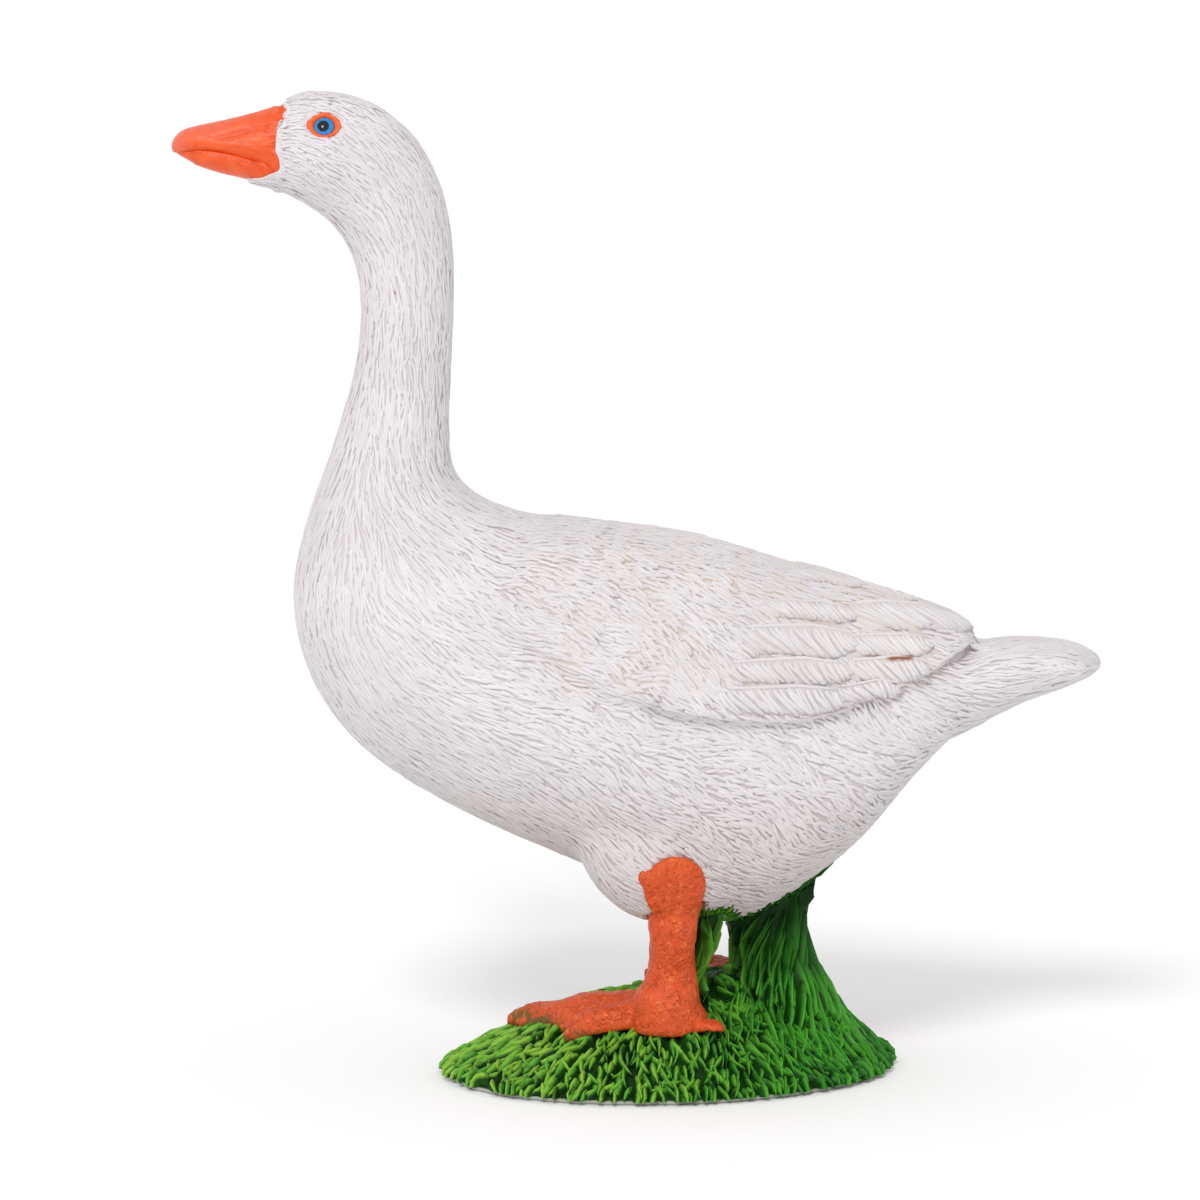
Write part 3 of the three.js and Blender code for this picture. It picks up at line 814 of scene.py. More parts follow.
def goose_skin():
    """One skin over all the flesh, with the cuts closed and the wings' front edges smoothed away."""
    skin = rounded_copy("goose_skin", FLESH, sharp=50)
    swollen(skin, SEAM)
    remeshed(skin, "skin")
    x, _, z = positions(skin).T
    low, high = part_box("wing_left")
    behind = smoothstep(x, low.x + 0.38 * (high.x - low.x), low.x + 0.10 * (high.x - low.x))
    above = smoothstep(z, low.z + 0.50 * (high.z - low.z), low.z + 0.75 * (high.z - low.z))
    near = smoothstep(x, low.x - 5 * MM, low.x - 2 * MM) * (z > low.z - 2 * MM)
    smoothed(skin, SMOOTHING["wing_fronts"], np.maximum(behind, above * 0.8) * near)
    shoulder = smoothstep(x, low.x - 4 * MM, low.x) * smoothstep(x, low.x + 14 * MM, low.x + 8 * MM)
    shoulder = shoulder * smoothstep(z, high.z - 2 * MM, high.z + 1 * MM)
    smoothed(skin, SMOOTHING["shoulders"], shoulder)
    thigh_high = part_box("thigh_left")[1]
    smoothed(skin, SMOOTHING["thighs"], smoothstep(z, thigh_high.z + 3 * MM, thigh_high.z))
    smoothed(skin, SMOOTHING["all over"])
    swollen(skin, -(SEAM + COAT))
    skin.data.shade_smooth()
    return skin


# Flight feathers of a wing: front and rear end as shares of the wing's box, half width and height in mm.
FLIGHT_FEATHERS = (
    (0.60, 0.70, 0.76, 0.62, 1.10, 0.20), (0.54, 0.57, 0.74, 0.50, 0.95, 0.24),
    (0.49, 0.43, 0.74, 0.37, 1.35, 0.26), (0.46, 0.27, 0.73, 0.235, 1.05, 0.26),
    (0.45, 0.13, 0.71, 0.10, 1.20, 0.28), (0.74, 0.65, 0.88, 0.58, 0.95, 0.20),
    (0.73, 0.51, 1.00, 0.41, 1.65, 0.28), (0.72, 0.37, 0.90, 0.34, 1.05, 0.26),
    (0.72, 0.25, 0.89, 0.23, 1.05, 0.26), (0.70, 0.13, 0.83, 0.15, 0.80, 0.24),
)
FULL = 1.10              # neighbouring rows of feathers overlap a little
VANE_STEPS = 26
VANE_ACROSS = 14
BARB_PITCH = 0.45 * MM

# Bare quills of the small wing feathers, as front and rear ends in the same shares.
COVERT_QUILLS = (
    (0.253, 0.434, 0.345, 0.60), (0.359, 0.414, 0.432, 0.55), (0.464, 0.355, 0.538, 0.52),
    (0.145, 0.490, 0.180, 0.55), (0.105, 0.570, 0.118, 0.67), (0.345, 0.620, 0.352, 0.72),
    (0.433, 0.640, 0.440, 0.75), (0.190, 0.300, 0.250, 0.36),
)
QUILL_ROWS = {"x": (0.17, 0.50, 0.068), "z": (0.22, 0.92, 0.165), "apart": 2.0 * MM}
QUILL = {"wave": 0.14 * MM, "width": 0.32 * MM, "height": 0.13 * MM}
# The ranges that barbs are drawn from, in mm and degrees.
FLIGHT_BARBS = {"widths": (0.38, 0.66), "heights": (0.20, 0.30)}
QUILL_BARBS = {"pitch": 0.50 * MM, "slants": (-48, -26), "lengths": (1.4, 2.3), "widths": (0.40, 0.56),
               "heights": (0.18, 0.27)}


def vane_outline(share):
    """Half width of a flight feather along it: slim at the root, full behind the middle, its end round."""
    tip = np.clip((share - 0.66) / 0.34, 0, 1)
    return np.minimum(0.76 + 0.35 * share, 1.0) * (1 - tip ** 2.2) ** 0.62


def on_wing(surface, side, share_x, share_z):
    """The place on the skin at shares of the wing's box, seen from the side."""
    low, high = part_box("wing_left")
    x, z = low.x + share_x * (high.x - low.x), low.z + share_z * (high.z - low.z)
    hit = surface.tree.ray_cast(Vector((x, 30 * MM * side, z)), Vector((0, -side, 0)))[0]
    return np.array(hit if hit else surface.tree.find_nearest(Vector((x, 0, z)))[0])


class Vane:
    """One flight feather: a crowned pad wrapped on the skin."""

    def __init__(self, surface, side, front, rear, half_width, height):
        first, last = on_wing(surface, side, *front), on_wing(surface, side, *rear)
        share, spread = np.linspace(0, 1, VANE_STEPS), np.linspace(-1, 1, VANE_ACROSS)
        steps = share[:, None]
        line, ups, _ = surface.nearest(first * (1 - steps) + last * steps)
        across = unit(np.cross(unit(np.gradient(line, axis=0)), ups)) * side
        width = half_width * np.maximum(vane_outline(share), 0.03)
        grid = line[:, None] + across[:, None] * (width[:, None] * spread[None])[..., None]
        flat, normals, faces = surface.nearest(grid.reshape(-1, 3))
        flat, self.normals = flat.reshape(grid.shape), normals.reshape(grid.shape)
        crown = (1 - np.abs(spread[None]) ** 6) ** 0.6 * (1 + 0.2 * spread[None])
        fade = smoothstep(share, 0, 0.25) * np.sqrt(1 - 0.6 * smoothstep(share, 0.9, 1.0))
        lift = height * crown * fade[:, None]
        self.top = flat + self.normals * lift[..., None]
        self.bottom = flat - self.normals * 0.2 * MM
        self.faces = faces.reshape(grid.shape[:2])
        self.length = float(np.linalg.norm(np.diff(line, axis=0), axis=1).sum())
        self.half_width = half_width

    def at(self, share, spread):
        """Places on the top, normals and skin faces, for shares along and across, which may overhang."""
        row = np.clip(share, 0, 1) * (VANE_STEPS - 1)
        column = (spread + 1) / 2 * (VANE_ACROSS - 1)
        i = np.minimum(row.astype(int), VANE_STEPS - 2)
        j = np.clip(column.astype(int), 0, VANE_ACROSS - 2)
        u, v = (row - i)[..., None], (column - j)[..., None]

        def blend(grid):
            near = grid[i, j] * (1 - v) + grid[i, j + 1] * v
            far = grid[i + 1, j] * (1 - v) + grid[i + 1, j + 1] * v
            return near * (1 - u) + far * u

        return blend(self.top), unit(blend(self.normals)), self.faces[i, j]


def vane_faces():
    """Closed faces of one vane: its top and bottom grids, top first, and the four walls between them."""
    size = VANE_STEPS * VANE_ACROSS

    def at(i, j, under):
        return i * VANE_ACROSS + j + under * size

    faces = []
    for i in range(VANE_STEPS - 1):
        for j in range(VANE_ACROSS - 1):
            faces.append((at(i, j, 0), at(i + 1, j, 0), at(i + 1, j + 1, 0), at(i, j + 1, 0)))
            faces.append((at(i, j, 1), at(i, j + 1, 1), at(i + 1, j + 1, 1), at(i + 1, j, 1)))
        for j, flip in ((0, False), (VANE_ACROSS - 1, True)):
            wall = (at(i, j, 0), at(i, j, 1), at(i + 1, j, 1), at(i + 1, j, 0))
            faces.append(wall[::-1] if flip else wall)
    for j in range(VANE_ACROSS - 1):
        for i, flip in ((0, True), (VANE_STEPS - 1, False)):
            wall = (at(i, j, 0), at(i, j, 1), at(i, j + 1, 1), at(i, j + 1, 0))
            faces.append(wall[::-1] if flip else wall)
    return faces


def vanes_piece(name, vanes, centres, side):
    """All of one wing's flight feathers as a joined mesh, each on its own OFBake patches."""
    faces = vane_faces()
    per_vane = 2 * VANE_STEPS * VANE_ACROSS
    vertices, loops, starts, uv = [], [], [], []
    for number, vane in enumerate(vanes):
        vertices.append(np.concatenate([vane.top.reshape(-1, 3), vane.bottom.reshape(-1, 3)]))
        roots = np.tile(centres[vane.faces.ravel()], (2, 1))
        for face in faces:
            face = face if side < 0 else face[::-1]
            starts.append(len(loops))
            loops += [number * per_vane + corner for corner in face]
            uv += [roots[corner] for corner in face]
    vertices = np.concatenate(vertices)
    # Their crest of 0.70 gives the vanes' surface between the barbs some of the painted shade of the
    # grooves.
    white = painted_as(len(vertices), 0.70, 0.5, 0.4)
    return mesh_piece(name, vertices, loops, starts, white, uv, sharp=50)


def barbs(vanes, centres):
    """Paths of the slanting strokes on the flight feathers, and of the shaft along each one's upper edge."""
    rows = []
    share = np.linspace(0, 1, RINGS + 2)
    for vane in vanes:
        count = int(vane.length / BARB_PITCH)
        lean = 1.6 * vane.half_width / vane.length
        starts = (np.arange(count) + RANDOM.uniform(-0.35, 0.35, count)) / count - 0.05
        tops = RANDOM.uniform(0.70, 0.86, count)
        ends = -RANDOM.uniform(0.90, 1.06, count)
        curve = share[None] ** 1.3
        leans = lean * RANDOM.uniform(0.75, 1.25, count) * (1 - 0.75 * np.clip(starts, 0, 1) ** 2)
        along = starts[:, None] + leans[:, None] * curve
        across = tops[:, None] + (ends - tops)[:, None] * share[None] ** 0.85
        path, up, faces = vane.at(along, across)
        widths = RANDOM.uniform(*FLIGHT_BARBS["widths"], count) * MM
        heights = RANDOM.uniform(*FLIGHT_BARBS["heights"], count) * MM
        rows.append((path, up, widths, heights, centres[faces[:, 0]]))
        shaft, up, faces = vane.at(share[None] * 0.94, np.full((1, RINGS + 2), 0.88))
        rows.append((shaft, up, [0.36 * vane.half_width], [0.19 * MM], centres[faces[:, 0]]))
    return [np.concatenate(values) for values in zip(*rows)]


def covert_quills():
    """The named quills, and others between them in loose rows, as front and rear ends in shares."""
    low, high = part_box("wing_left")
    size = np.array([high.x - low.x, high.z - low.z])
    quills = [np.array(quill).reshape(2, 2) for quill in COVERT_QUILLS]
    for share_x in np.arange(*QUILL_ROWS["x"]):
        for share_z in np.arange(*QUILL_ROWS["z"]):
            middle = np.array([share_x, share_z]) + RANDOM.uniform(-0.45, 0.45, 2) * (0.068, 0.165)
            angle = RANDOM.uniform(0.6, 1.25)
            half = np.array([math.cos(angle), math.sin(angle)]) * RANDOM.uniform(0.8, 1.25) * MM / size
            gaps = [np.linalg.norm((quill.mean(0) - middle) * size) for quill in quills]
            if min(gaps) > QUILL_ROWS["apart"]:
                quills.append(np.array([middle - half, middle + half]))
    return [quill.ravel() for quill in quills]


def covert_strokes(surface, side, centres):
    """Quills of the small wing feathers, and the barbs that run down and back from each."""
    steps = np.linspace(0, 1, RINGS + 2)[:, None]
    rows = []
    for number, (front_x, front_z, rear_x, rear_z) in enumerate(covert_quills()):
        bare = number < len(COVERT_QUILLS)
        slant = math.radians(RANDOM.uniform(*QUILL_BARBS["slants"]))
        first, last = on_wing(surface, side, front_x, front_z), on_wing(surface, side, rear_x, rear_z)
        line, normals, faces = surface.nearest(first * (1 - steps) + last * steps)
        if bare:
            quill = waved(line[None], normals[None], QUILL["wave"])
            rows.append((quill, normals[None], [QUILL["width"]], [QUILL["height"]], centres[faces[:1]]))
        count = max(3, int(np.linalg.norm(last - first) / QUILL_BARBS["pitch"]))
        along = ((np.arange(count) + 0.5) / count)[:, None]
        starts, up, faces = surface.nearest(first * (1 - along) + last * along)
        turns = RANDOM.normal(0, 0.08, count)
        lengths = RANDOM.uniform(*QUILL_BARBS["lengths"], count) * MM

        def down_back(here, up):
            way = levelled(np.tile([math.cos(slant), 0.0, math.sin(slant)], (len(here), 1)), up)
            return turned(way, up, turns * side)

        path, up = traced(surface, starts, up, down_back, lengths, np.full(count, 0.5 * side))
        widths = RANDOM.uniform(*QUILL_BARBS["widths"], count) * MM
        heights = RANDOM.uniform(*QUILL_BARBS["heights"], count) * MM
        rows.append((path, up, widths, heights, centres[faces]))
    return [np.concatenate(values) for values in zip(*rows)]


STROKE_PROFILE = (0.0, 0.72, 1.0, 1.0, 0.74, 0.0)
CANDIDATES = 5
STROKE_WIDTH = 0.27 * MM         # where the strokes lie alike
STROKE_SPREAD = 0.42 * MM        # more width for each radian that patches differ by
NARROWER_ON_HEAD = 0.14
BROADER = 0.15                   # share by which the broad strokes are wider and deeper
SPACING = {"along": 0.28, "across": 0.69, "broad": 0.08}     # shares of a stroke's length and width

# Where the feathers meet the bill: height as a share of the whole bill's, and mm ahead of its base.
FEATHER_EDGE = (
    (0.075, 2.60), (0.089, 2.00), (0.127, 1.00), (0.184, 0.09), (0.232, -0.21),
    (0.330, -0.03), (0.435, 0.16), (0.554, 0.23), (0.703, 0.11), (0.790, -0.37),
    (0.886, -0.53), (0.966, -0.60), (1.015, -0.07),
)
LIP_AROUND = 168
LIP_FRONT = ((0.0, -0.10), (0.02, 0.05), (0.10, 0.10))      # mm behind the edge, and mm above the bill
LIP_BACK = ((0.2, 0.09), (0.4, 0.09), (0.6, 0.08), (0.8, 0.04), (1.0, -0.15))    # share of the way back
LIP_LENGTH = 0.7 * MM


def bill_base():
    """Where the bill ends along X, and its top and bottom."""
    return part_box("bill_upper")[1].x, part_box("bill_upper")[1].z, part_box("bill_lower")[0].z


def feather_line(heights):
    """Where along X the feathers begin behind the bill, for an array of heights."""
    base, top, bottom = bill_base()
    shares, ahead = zip(*FEATHER_EDGE)
    return base - np.interp((heights - bottom) / (top - bottom), shares, ahead) * MM


def feather_lip(skin, bills, centres):
    """The ragged edge of the feathers, which laps over the base of the bill."""
    under = Surface(skin, *bills)
    base, top, bottom = bill_base()
    middle = (top + bottom) / 2
    angles = np.linspace(0, math.tau, LIP_AROUND, endpoint=False)
    outwards = np.stack([np.zeros(LIP_AROUND), np.sin(angles), np.cos(angles)], 1)

    def over(x):
        """The outermost places at x along the bill, one for each angle."""
        axis = np.stack([x, np.zeros(LIP_AROUND), np.full(LIP_AROUND, middle)], 1)
        reach = np.empty(LIP_AROUND)
        for index in range(LIP_AROUND):
            start = Vector(axis[index] + outwards[index] * 20 * MM)
            reach[index] = 20 * MM - under.tree.ray_cast(start, Vector(-outwards[index]))[3]
        # It spans the mouth's corner rather than dipping into it.
        for gap in range(1, 6):
            reach = np.maximum(reach, (np.roll(reach, gap) + np.roll(reach, -gap)) / 2)
        for _ in range(3):
            reach = (np.roll(reach, 1) + reach + np.roll(reach, -1)) / 3
        return axis + outwards * reach[:, None]

    edge = np.full(LIP_AROUND, base - 0.5 * MM)
    for _ in range(8):
        edge = (edge + feather_line(over(edge)[:, 2])) / 2
    knots = RANDOM.normal(0, 0.045 * MM, 48)
    edge = edge + np.interp(angles, np.linspace(0, math.tau, 49), np.append(knots, knots[0]))
    back = np.maximum(base + 0.4 * MM, edge + LIP_LENGTH)
    rows = [over(edge + step * MM) + outwards * rise * MM for step, rise in LIP_FRONT]
    start = edge + LIP_FRONT[-1][0] * MM
    rows += [over(start + (back - start) * share) + outwards * rise * MM for share, rise in LIP_BACK]
    rows += [row - outwards * 0.4 * MM for row in rows[::-1]]
    vertices = np.stack(rows, 1)
    _, _, faces = Surface(skin).nearest(vertices.reshape(-1, 3))
    top_side = np.tile((np.arange(len(rows)) < len(rows) // 2).astype(float), LIP_AROUND)
    attributes = painted_as(len(top_side), top_side, 0.5, 0.3)
    return hoop_piece("feather_edge_at_bill", vertices, attributes, centres[faces])


def feather_regions(points, normals):
    """A piece name for each stroke root."""
    neck_low, neck_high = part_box("neck")
    head_low, head_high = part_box("head")
    wing_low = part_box("wing_left")[0]
    x, y, z = points.T
    side = np.where(y < 0, "left", "right")
    names = np.char.add("feathers_flank_", side)
    on_wing = (x > wing_low.x) & (z > wing_low.z + 1 * MM) & (np.abs(y) > 2 * MM)
    names = np.where(on_wing, np.char.add("feathers_wing_", side), names)
    on_breast = (x < wing_low.x) & (z < neck_low.z + 2 * MM)
    names = np.where(on_breast, np.char.add("feathers_breast_", side), names)
    names = np.where(normals[:, 2] < -0.55, "feathers_belly", names)
    names = np.where((normals[:, 2] > 0.6) & (x > neck_high.x), "feathers_back", names)
    names = np.where(z > neck_low.z, "feathers_neck", names)
    names = np.where((z > head_low.z) & (x < head_high.x), "feathers_head", names)
    return np.where(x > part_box("tail")[0].x, "feathers_tail", names)


def uncovered(points, normals, *covers):
    """Which points aren't under a covering piece."""
    over = Surface(*covers)
    return np.array([over.tree.ray_cast(Vector(p) + Vector(n) * 1.2 * MM, -Vector(n), 1.25 * MM)[0] is None
                     for p, n in zip(points, normals)])


def outside_eyes(points, reach):
    """Which points are outside the eye rings, whose half axes are taken reach times."""
    outside = np.ones(len(points), bool)
    for side_name in SIDES:
        low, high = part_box("eye_ring_" + side_name)
        centre = (np.array(low) + np.array(high)) / 2
        gap = (points - centre) / (np.array([EYE_RIM[0], 3.0, EYE_RIM[1]]) * MM)
        outside &= np.sum(gap * gap, 1) > reach ** 2
    return outside


def feathers_piece(name, paths, ups, widths, heights, roots, lifts, soft, paint):
    """Feather strokes, with blunt ends."""
    piece = strokes_piece(name, blunted(paths), blunted(ups), widths, heights, roots, STROKE_PROFILE, lifts,
                          soft=soft)
    return finished(piece, paint, "white_feathers")


def wing_feathers(surface, side_name, centres, paint):
    """A wing's flight feathers, the barbs on them and the small feathers before them."""
    side = SIDES[side_name]
    vanes = [Vane(surface, side, feather[0:2], feather[2:4], FULL * feather[4] * MM, feather[5] * MM)
             for feather in FLIGHT_FEATHERS]
    piece = vanes_piece("flight_feathers_" + side_name, vanes, centres, side)
    flight = finished(piece, paint, "white_feathers")
    paths, ups, *rest = barbs(vanes, centres)
    # The number after the lifts sets the painted shade in the grooves: little between the barbs, more
    # between the coverts.
    feathers_piece("barbs_" + side_name, waved(paths, ups, 0.08 * MM), ups, *rest, 0.3, 0.28, paint)
    paths, ups, *rest = covert_strokes(surface, side, centres)
    paths = waved(paths, ups, 0.04 * MM)
    return flight, feathers_piece("coverts_" + side_name, paths, ups, *rest, 0.2, -0.3, paint)


def stroke_roots(skin, lip, covers):
    """Random places for strokes, on the skin where it is free and on the lip's outside."""
    points, normals, faces = scattered(skin, CANDIDATES)
    free = outside_eyes(points, 0.92) & (points[:, 0] > feather_line(points[:, 2]))
    points, normals, faces = picked(free, points, normals, faces)
    points, normals, faces = picked(uncovered(points, normals, *covers), points, normals, faces)
    on_lip, lip_normals, _ = scattered(lip, 8)
    outer = lip_normals @ np.array([0, 0, 1]) * np.sign(on_lip[:, 2] - on_lip[:, 2].mean()) > -0.3
    outer &= np.abs(lip_normals[:, 0]) < 0.6
    outer &= on_lip[:, 0] > feather_line(on_lip[:, 2]) + 0.10 * MM
    on_lip, lip_normals = picked(outer, on_lip, lip_normals)
    faces = np.concatenate([faces, Surface(skin).nearest(on_lip)[2]])
    return np.concatenate([points, on_lip]), np.concatenate([normals, lip_normals]), faces


def goose_coat(skin, bills, paint):
    """The tooled feather strokes over the whole skin, the flight feathers and their barbs."""
    centres = unwrapped_centres(skin)
    skin_surface = Surface(skin)
    lie = Lie()
    lip = finished(feather_lip(skin, bills, centres), paint, "white_feathers")
    covers = [lip]
    for side_name in SIDES:
        covers += wing_feathers(skin_surface, side_name, centres, paint)
    points, normals, faces = stroke_roots(skin, lip, covers)
    lengths, scatters = lie.sizes_at(points)
    head_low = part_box("head")[0].z
    widths = STROKE_WIDTH + STROKE_SPREAD * scatters
    widths = widths * (1 - NARROWER_ON_HEAD * smoothstep(points[:, 2], head_low, head_low + 4 * MM))
    # Strokes are broader and more deeply cut on the back, breast and belly than on the sides.
    broad = smoothstep(np.abs(normals[:, 1]), 0.88, 0.45)
    widths = widths * (1 + BROADER * broad)
    apart = (SPACING["across"] + SPACING["broad"] * broad) * widths
    kept = spaced(points, normals, lie.heading(points, normals), SPACING["along"] * lengths, apart)
    points, normals, faces = picked(kept, points, normals, faces)
    lengths, scatters, widths, broad = picked(kept, lengths, scatters, widths, broad)
    turns = lie.patch_turn(points) * scatters + RANDOM.normal(0, 0.09, len(points))
    bend = RANDOM.normal(0, 0.22, len(points))
    lengths = lengths * RANDOM.uniform(0.7, 1.25, len(points))

    def heading(here, up):
        return turned(lie.heading(here, up), up, turns)

    paths, ups = traced(Surface(skin, lip), points, normals, heading, lengths, bend)
    free = outside_eyes(paths.reshape(-1, 3), 0.76).reshape(len(paths), -1).all(1)
    paths, ups, points, normals, faces = picked(free, paths, ups, points, normals, faces)
    lengths, scatters, widths, broad = picked(free, lengths, scatters, widths, broad)
    ups = unit(ups + 2 * ups.mean(1, keepdims=True))
    paths = waved(paths, ups, 0.026 * lengths)
    widths = widths * RANDOM.uniform(0.85, 1.2, len(points))
    heights = (0.03 * MM + 0.26 * widths) * (1 + BROADER * broad)
    heights = heights * RANDOM.uniform(0.75, 1.2, len(points))
    lifts = 0.08 + 0.9 * scatters
    # Painted shade in the grooves: darker on the back, breast and belly and low on the sides below the
    # wings, and lighter on the trunk than on the neck and head.
    neck_low, wing_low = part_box("neck")[0].z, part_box("wing_left")[0].z
    on_trunk = smoothstep(points[:, 2], neck_low + 2 * MM, neck_low - 3 * MM)
    below = smoothstep(points[:, 2], wing_low, wing_low - 9 * MM)
    soft = (1 - broad) * (0.02 + 0.22 * on_trunk - 0.6 * below) - 1.2 * broad
    regions = feather_regions(points, normals)
    strokes = (paths, ups, widths, heights, centres[faces], lifts, soft)
    for region in sorted(set(regions)):
        feathers_piece(str(region), *picked(regions == region, *strokes), paint)


# ---------------------------------------------------------------- bill

# The mouth line: share of the way from tip to base, and height as a share of the whole bill's.
MOUTH = ((0.145, 0.459), (0.24, 0.470), (0.35, 0.465), (0.46, 0.443), (0.58, 0.422), (0.69, 0.395),
         (0.80, 0.352), (0.91, 0.278), (1.0, 0.217))
RIM_DROP = 0.42 * MM      # the groove under the lower half's rim is this far below the mouth line
NOSTRIL = {"along": 0.60, "up": 0.56, "half_length": 1.35 * MM, "half_height": 0.26 * MM, "slope": 0.22}
BILL_PROUD = 0.06 * MM    # over the head, as far as it shows
BILL_SUNK = 0.30 * MM     # and under the skin behind that
BILL_RUN = 1.8 * MM       # its base reaches this far behind the feathers' edge


def goose_bill(paint, skin_surface):
    """The two halves of the bill, which meet at the mouth and run back over and into the head."""
    low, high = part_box("bill_upper")
    lower_low, lower_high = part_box("bill_lower")
    middle = (lower_low.z + high.z) / 2
    bills = []
    for node, facing in (("bill_upper", -1), ("bill_lower", 1)):
        bill = rounded_copy(node + "_shell", [node], sharp=40)
        remeshed(bill, "bill")
        smoothed(bill, 6)
        swollen(bill, 0.04 * MM)
        places, normals = positions(bill), vertex_normals(bill)
        # The faces at the mouth close up, and leave a groove between their rounded edges.
        meeting = smoothstep(facing * normals[:, 2], 0.45, 0.85)
        backwards = smoothstep(places[:, 0], low.x + 3 * MM, high.x - 1 * MM)
        corner = smoothstep(places[:, 0], high.x - 2.0 * MM, high.x - 0.6 * MM)
        places[:, 2] += facing * (0.22 + 0.16 * backwards + 0.40 * corner) * MM * meeting
        # The base runs back into the head, drawn in, but as far as it shows it stands on the head's surface.
        share = (places[:, 2] - lower_low.z) / (high.z - lower_low.z)
        base = lower_high.x + (high.x - lower_high.x) * share
        inside = smoothstep(places[:, 0] - base, -0.40 * MM, 0.0)
        places[:, 0] += 1.6 * MM * inside
        places[:, 1] *= 1 - 0.10 * inside
        places[:, 2] += (middle - places[:, 2]) * 0.08 * inside
        length = high.x - low.x
        share = np.clip((places[:, 0] - low.x) / length, 0, 1)
        mouth = lower_low.z + np.interp(share, *zip(*MOUTH)) * (high.z - lower_low.z)
        fade = smoothstep(share, 0.08, 0.25) * smoothstep(share, 1.0, 0.90)
        if node == "bill_upper":
            # A long nostril on each side, in a shallow trough that runs on up the bill.
            along = (places[:, 0] - low.x - NOSTRIL["along"] * length) / NOSTRIL["half_length"]
            line = low.z + NOSTRIL["up"] * (high.z - low.z)
            line = line + NOSTRIL["slope"] * NOSTRIL["half_length"] * along
            up = (places[:, 2] - line) / NOSTRIL["half_height"]
            depth = 0.20 * MM * np.exp(-along ** 2 - up ** 2)
            depth += 0.14 * MM * np.exp(-along ** 2 / 3 - up ** 2 / 6)
            groove = 0.5 * np.exp(-((places[:, 2] - mouth - 0.02 * MM) / (0.07 * MM)) ** 2) * fade
            groove += 0.4 * np.exp(-along ** 2 - 2 * up ** 2)
        else:
            # The rim of the lower half stands out over a groove, fading towards the tip and the corner.
            below = mouth - places[:, 2]
            groove = np.exp(-((below - RIM_DROP) / (0.08 * MM)) ** 2) * fade
            depth = 0.14 * MM * groove
            # Its rim is as wide as the upper half, and its tip thins out under the upper half's.
            rim = smoothstep(share, 0.35, 0.85) * smoothstep(below, 1.3 * MM, 0.2 * MM)
            places[:, 1] *= 1 + 0.10 * rim
            places[:, 2] = mouth - below * (0.2 + 0.8 * np.sqrt(np.clip((share - 0.06) / 0.15, 0, 1)))
            places[:, 0] -= 0.42 * MM * smoothstep(share, 0.20, 0.08)
        moved(bill, places - normals * depth[:, None])
        smoothed(bill, 4)
        places = positions(bill)
        past = places[:, 0] - np.maximum(feather_line(places[:, 2]), base - 0.3 * MM)
        # At the mouth's corner it stands higher, since the skin curves more there.
        proud = BILL_PROUD + 0.13 * MM * np.exp(-((places[:, 2] - lower_low.z - 1.3 * MM) / (0.9 * MM)) ** 2)
        stand = proud - (proud + BILL_SUNK) * smoothstep(past, 0.10 * MM, 0.32 * MM)
        shown = np.flatnonzero((places[:, 0] > base - 0.9 * MM) & (past < BILL_RUN))
        for index in shown:
            out = Vector((0, places[index, 1], places[index, 2] - middle))
            radius = out.length
            out.normalize()
            axis = Vector((places[index, 0], 0, middle))
            gap = skin_surface.tree.ray_cast(axis + out * 20 * MM, -out)[3]
            reach = 0 if gap is None else 20 * MM - gap + stand[index]
            if 0.45 * reach < radius and (radius < reach or past[index] > 0.1 * MM):
                places[index] = axis + out * reach
        moved(bill, places)
        # The paint reads this groove weight and lays painted shade along it.
        layer = bill.data.attributes.new("groove", "FLOAT", "POINT")
        layer.data.foreach_set("value", groove.astype(np.float32))
        bill.data.shade_smooth()
        bills.append(finished(bill, paint, "bill_orange", node))
    return bills


# ---------------------------------------------------------------- eyes

RING_AROUND = 56
RING_SECTION = 10
DOME_RINGS = 10
EYE_OPENING = (0.87, 0.82)      # half length and half height of the eye within its ring, in mm
EYE_RIM = (1.43, 1.18)          # and of the ring's outer edge
RIM_RISE = 0.17 * MM            # half the thickness of the ring
BALL_REACH = 0.12               # mm that the ball runs on under the ring
BALL_RISE = 0.24 * MM


def almond(angle, half_length, half_height):
    """Outline of the eye: an oval drawn out to a slight corner at the front, and less at the back."""
    ahead = np.cos(angle)
    pull = 1 + np.where(ahead > 0, 0.06, 0.03) * np.abs(ahead) ** 6
    return half_length * ahead * pull, half_height * np.sin(angle) * np.abs(np.sin(angle)) ** 0.12


def eye_frame(surface, side_name):
    """The middle of an eye on the head, and the ways out, ahead and up from there."""
    low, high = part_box("eye_" + side_name)
    centre = (low + high) / 2
    place, normal, _, _ = surface.tree.find_nearest(centre)
    ahead = Vector((-1, 0, 0.12))
    ahead = (ahead - normal * ahead.dot(normal)).normalized()
    up = normal.cross(ahead) * (-SIDES[side_name])
    return np.array(place), np.array(normal), np.array(ahead), np.array(up if up.z > 0 else -up)


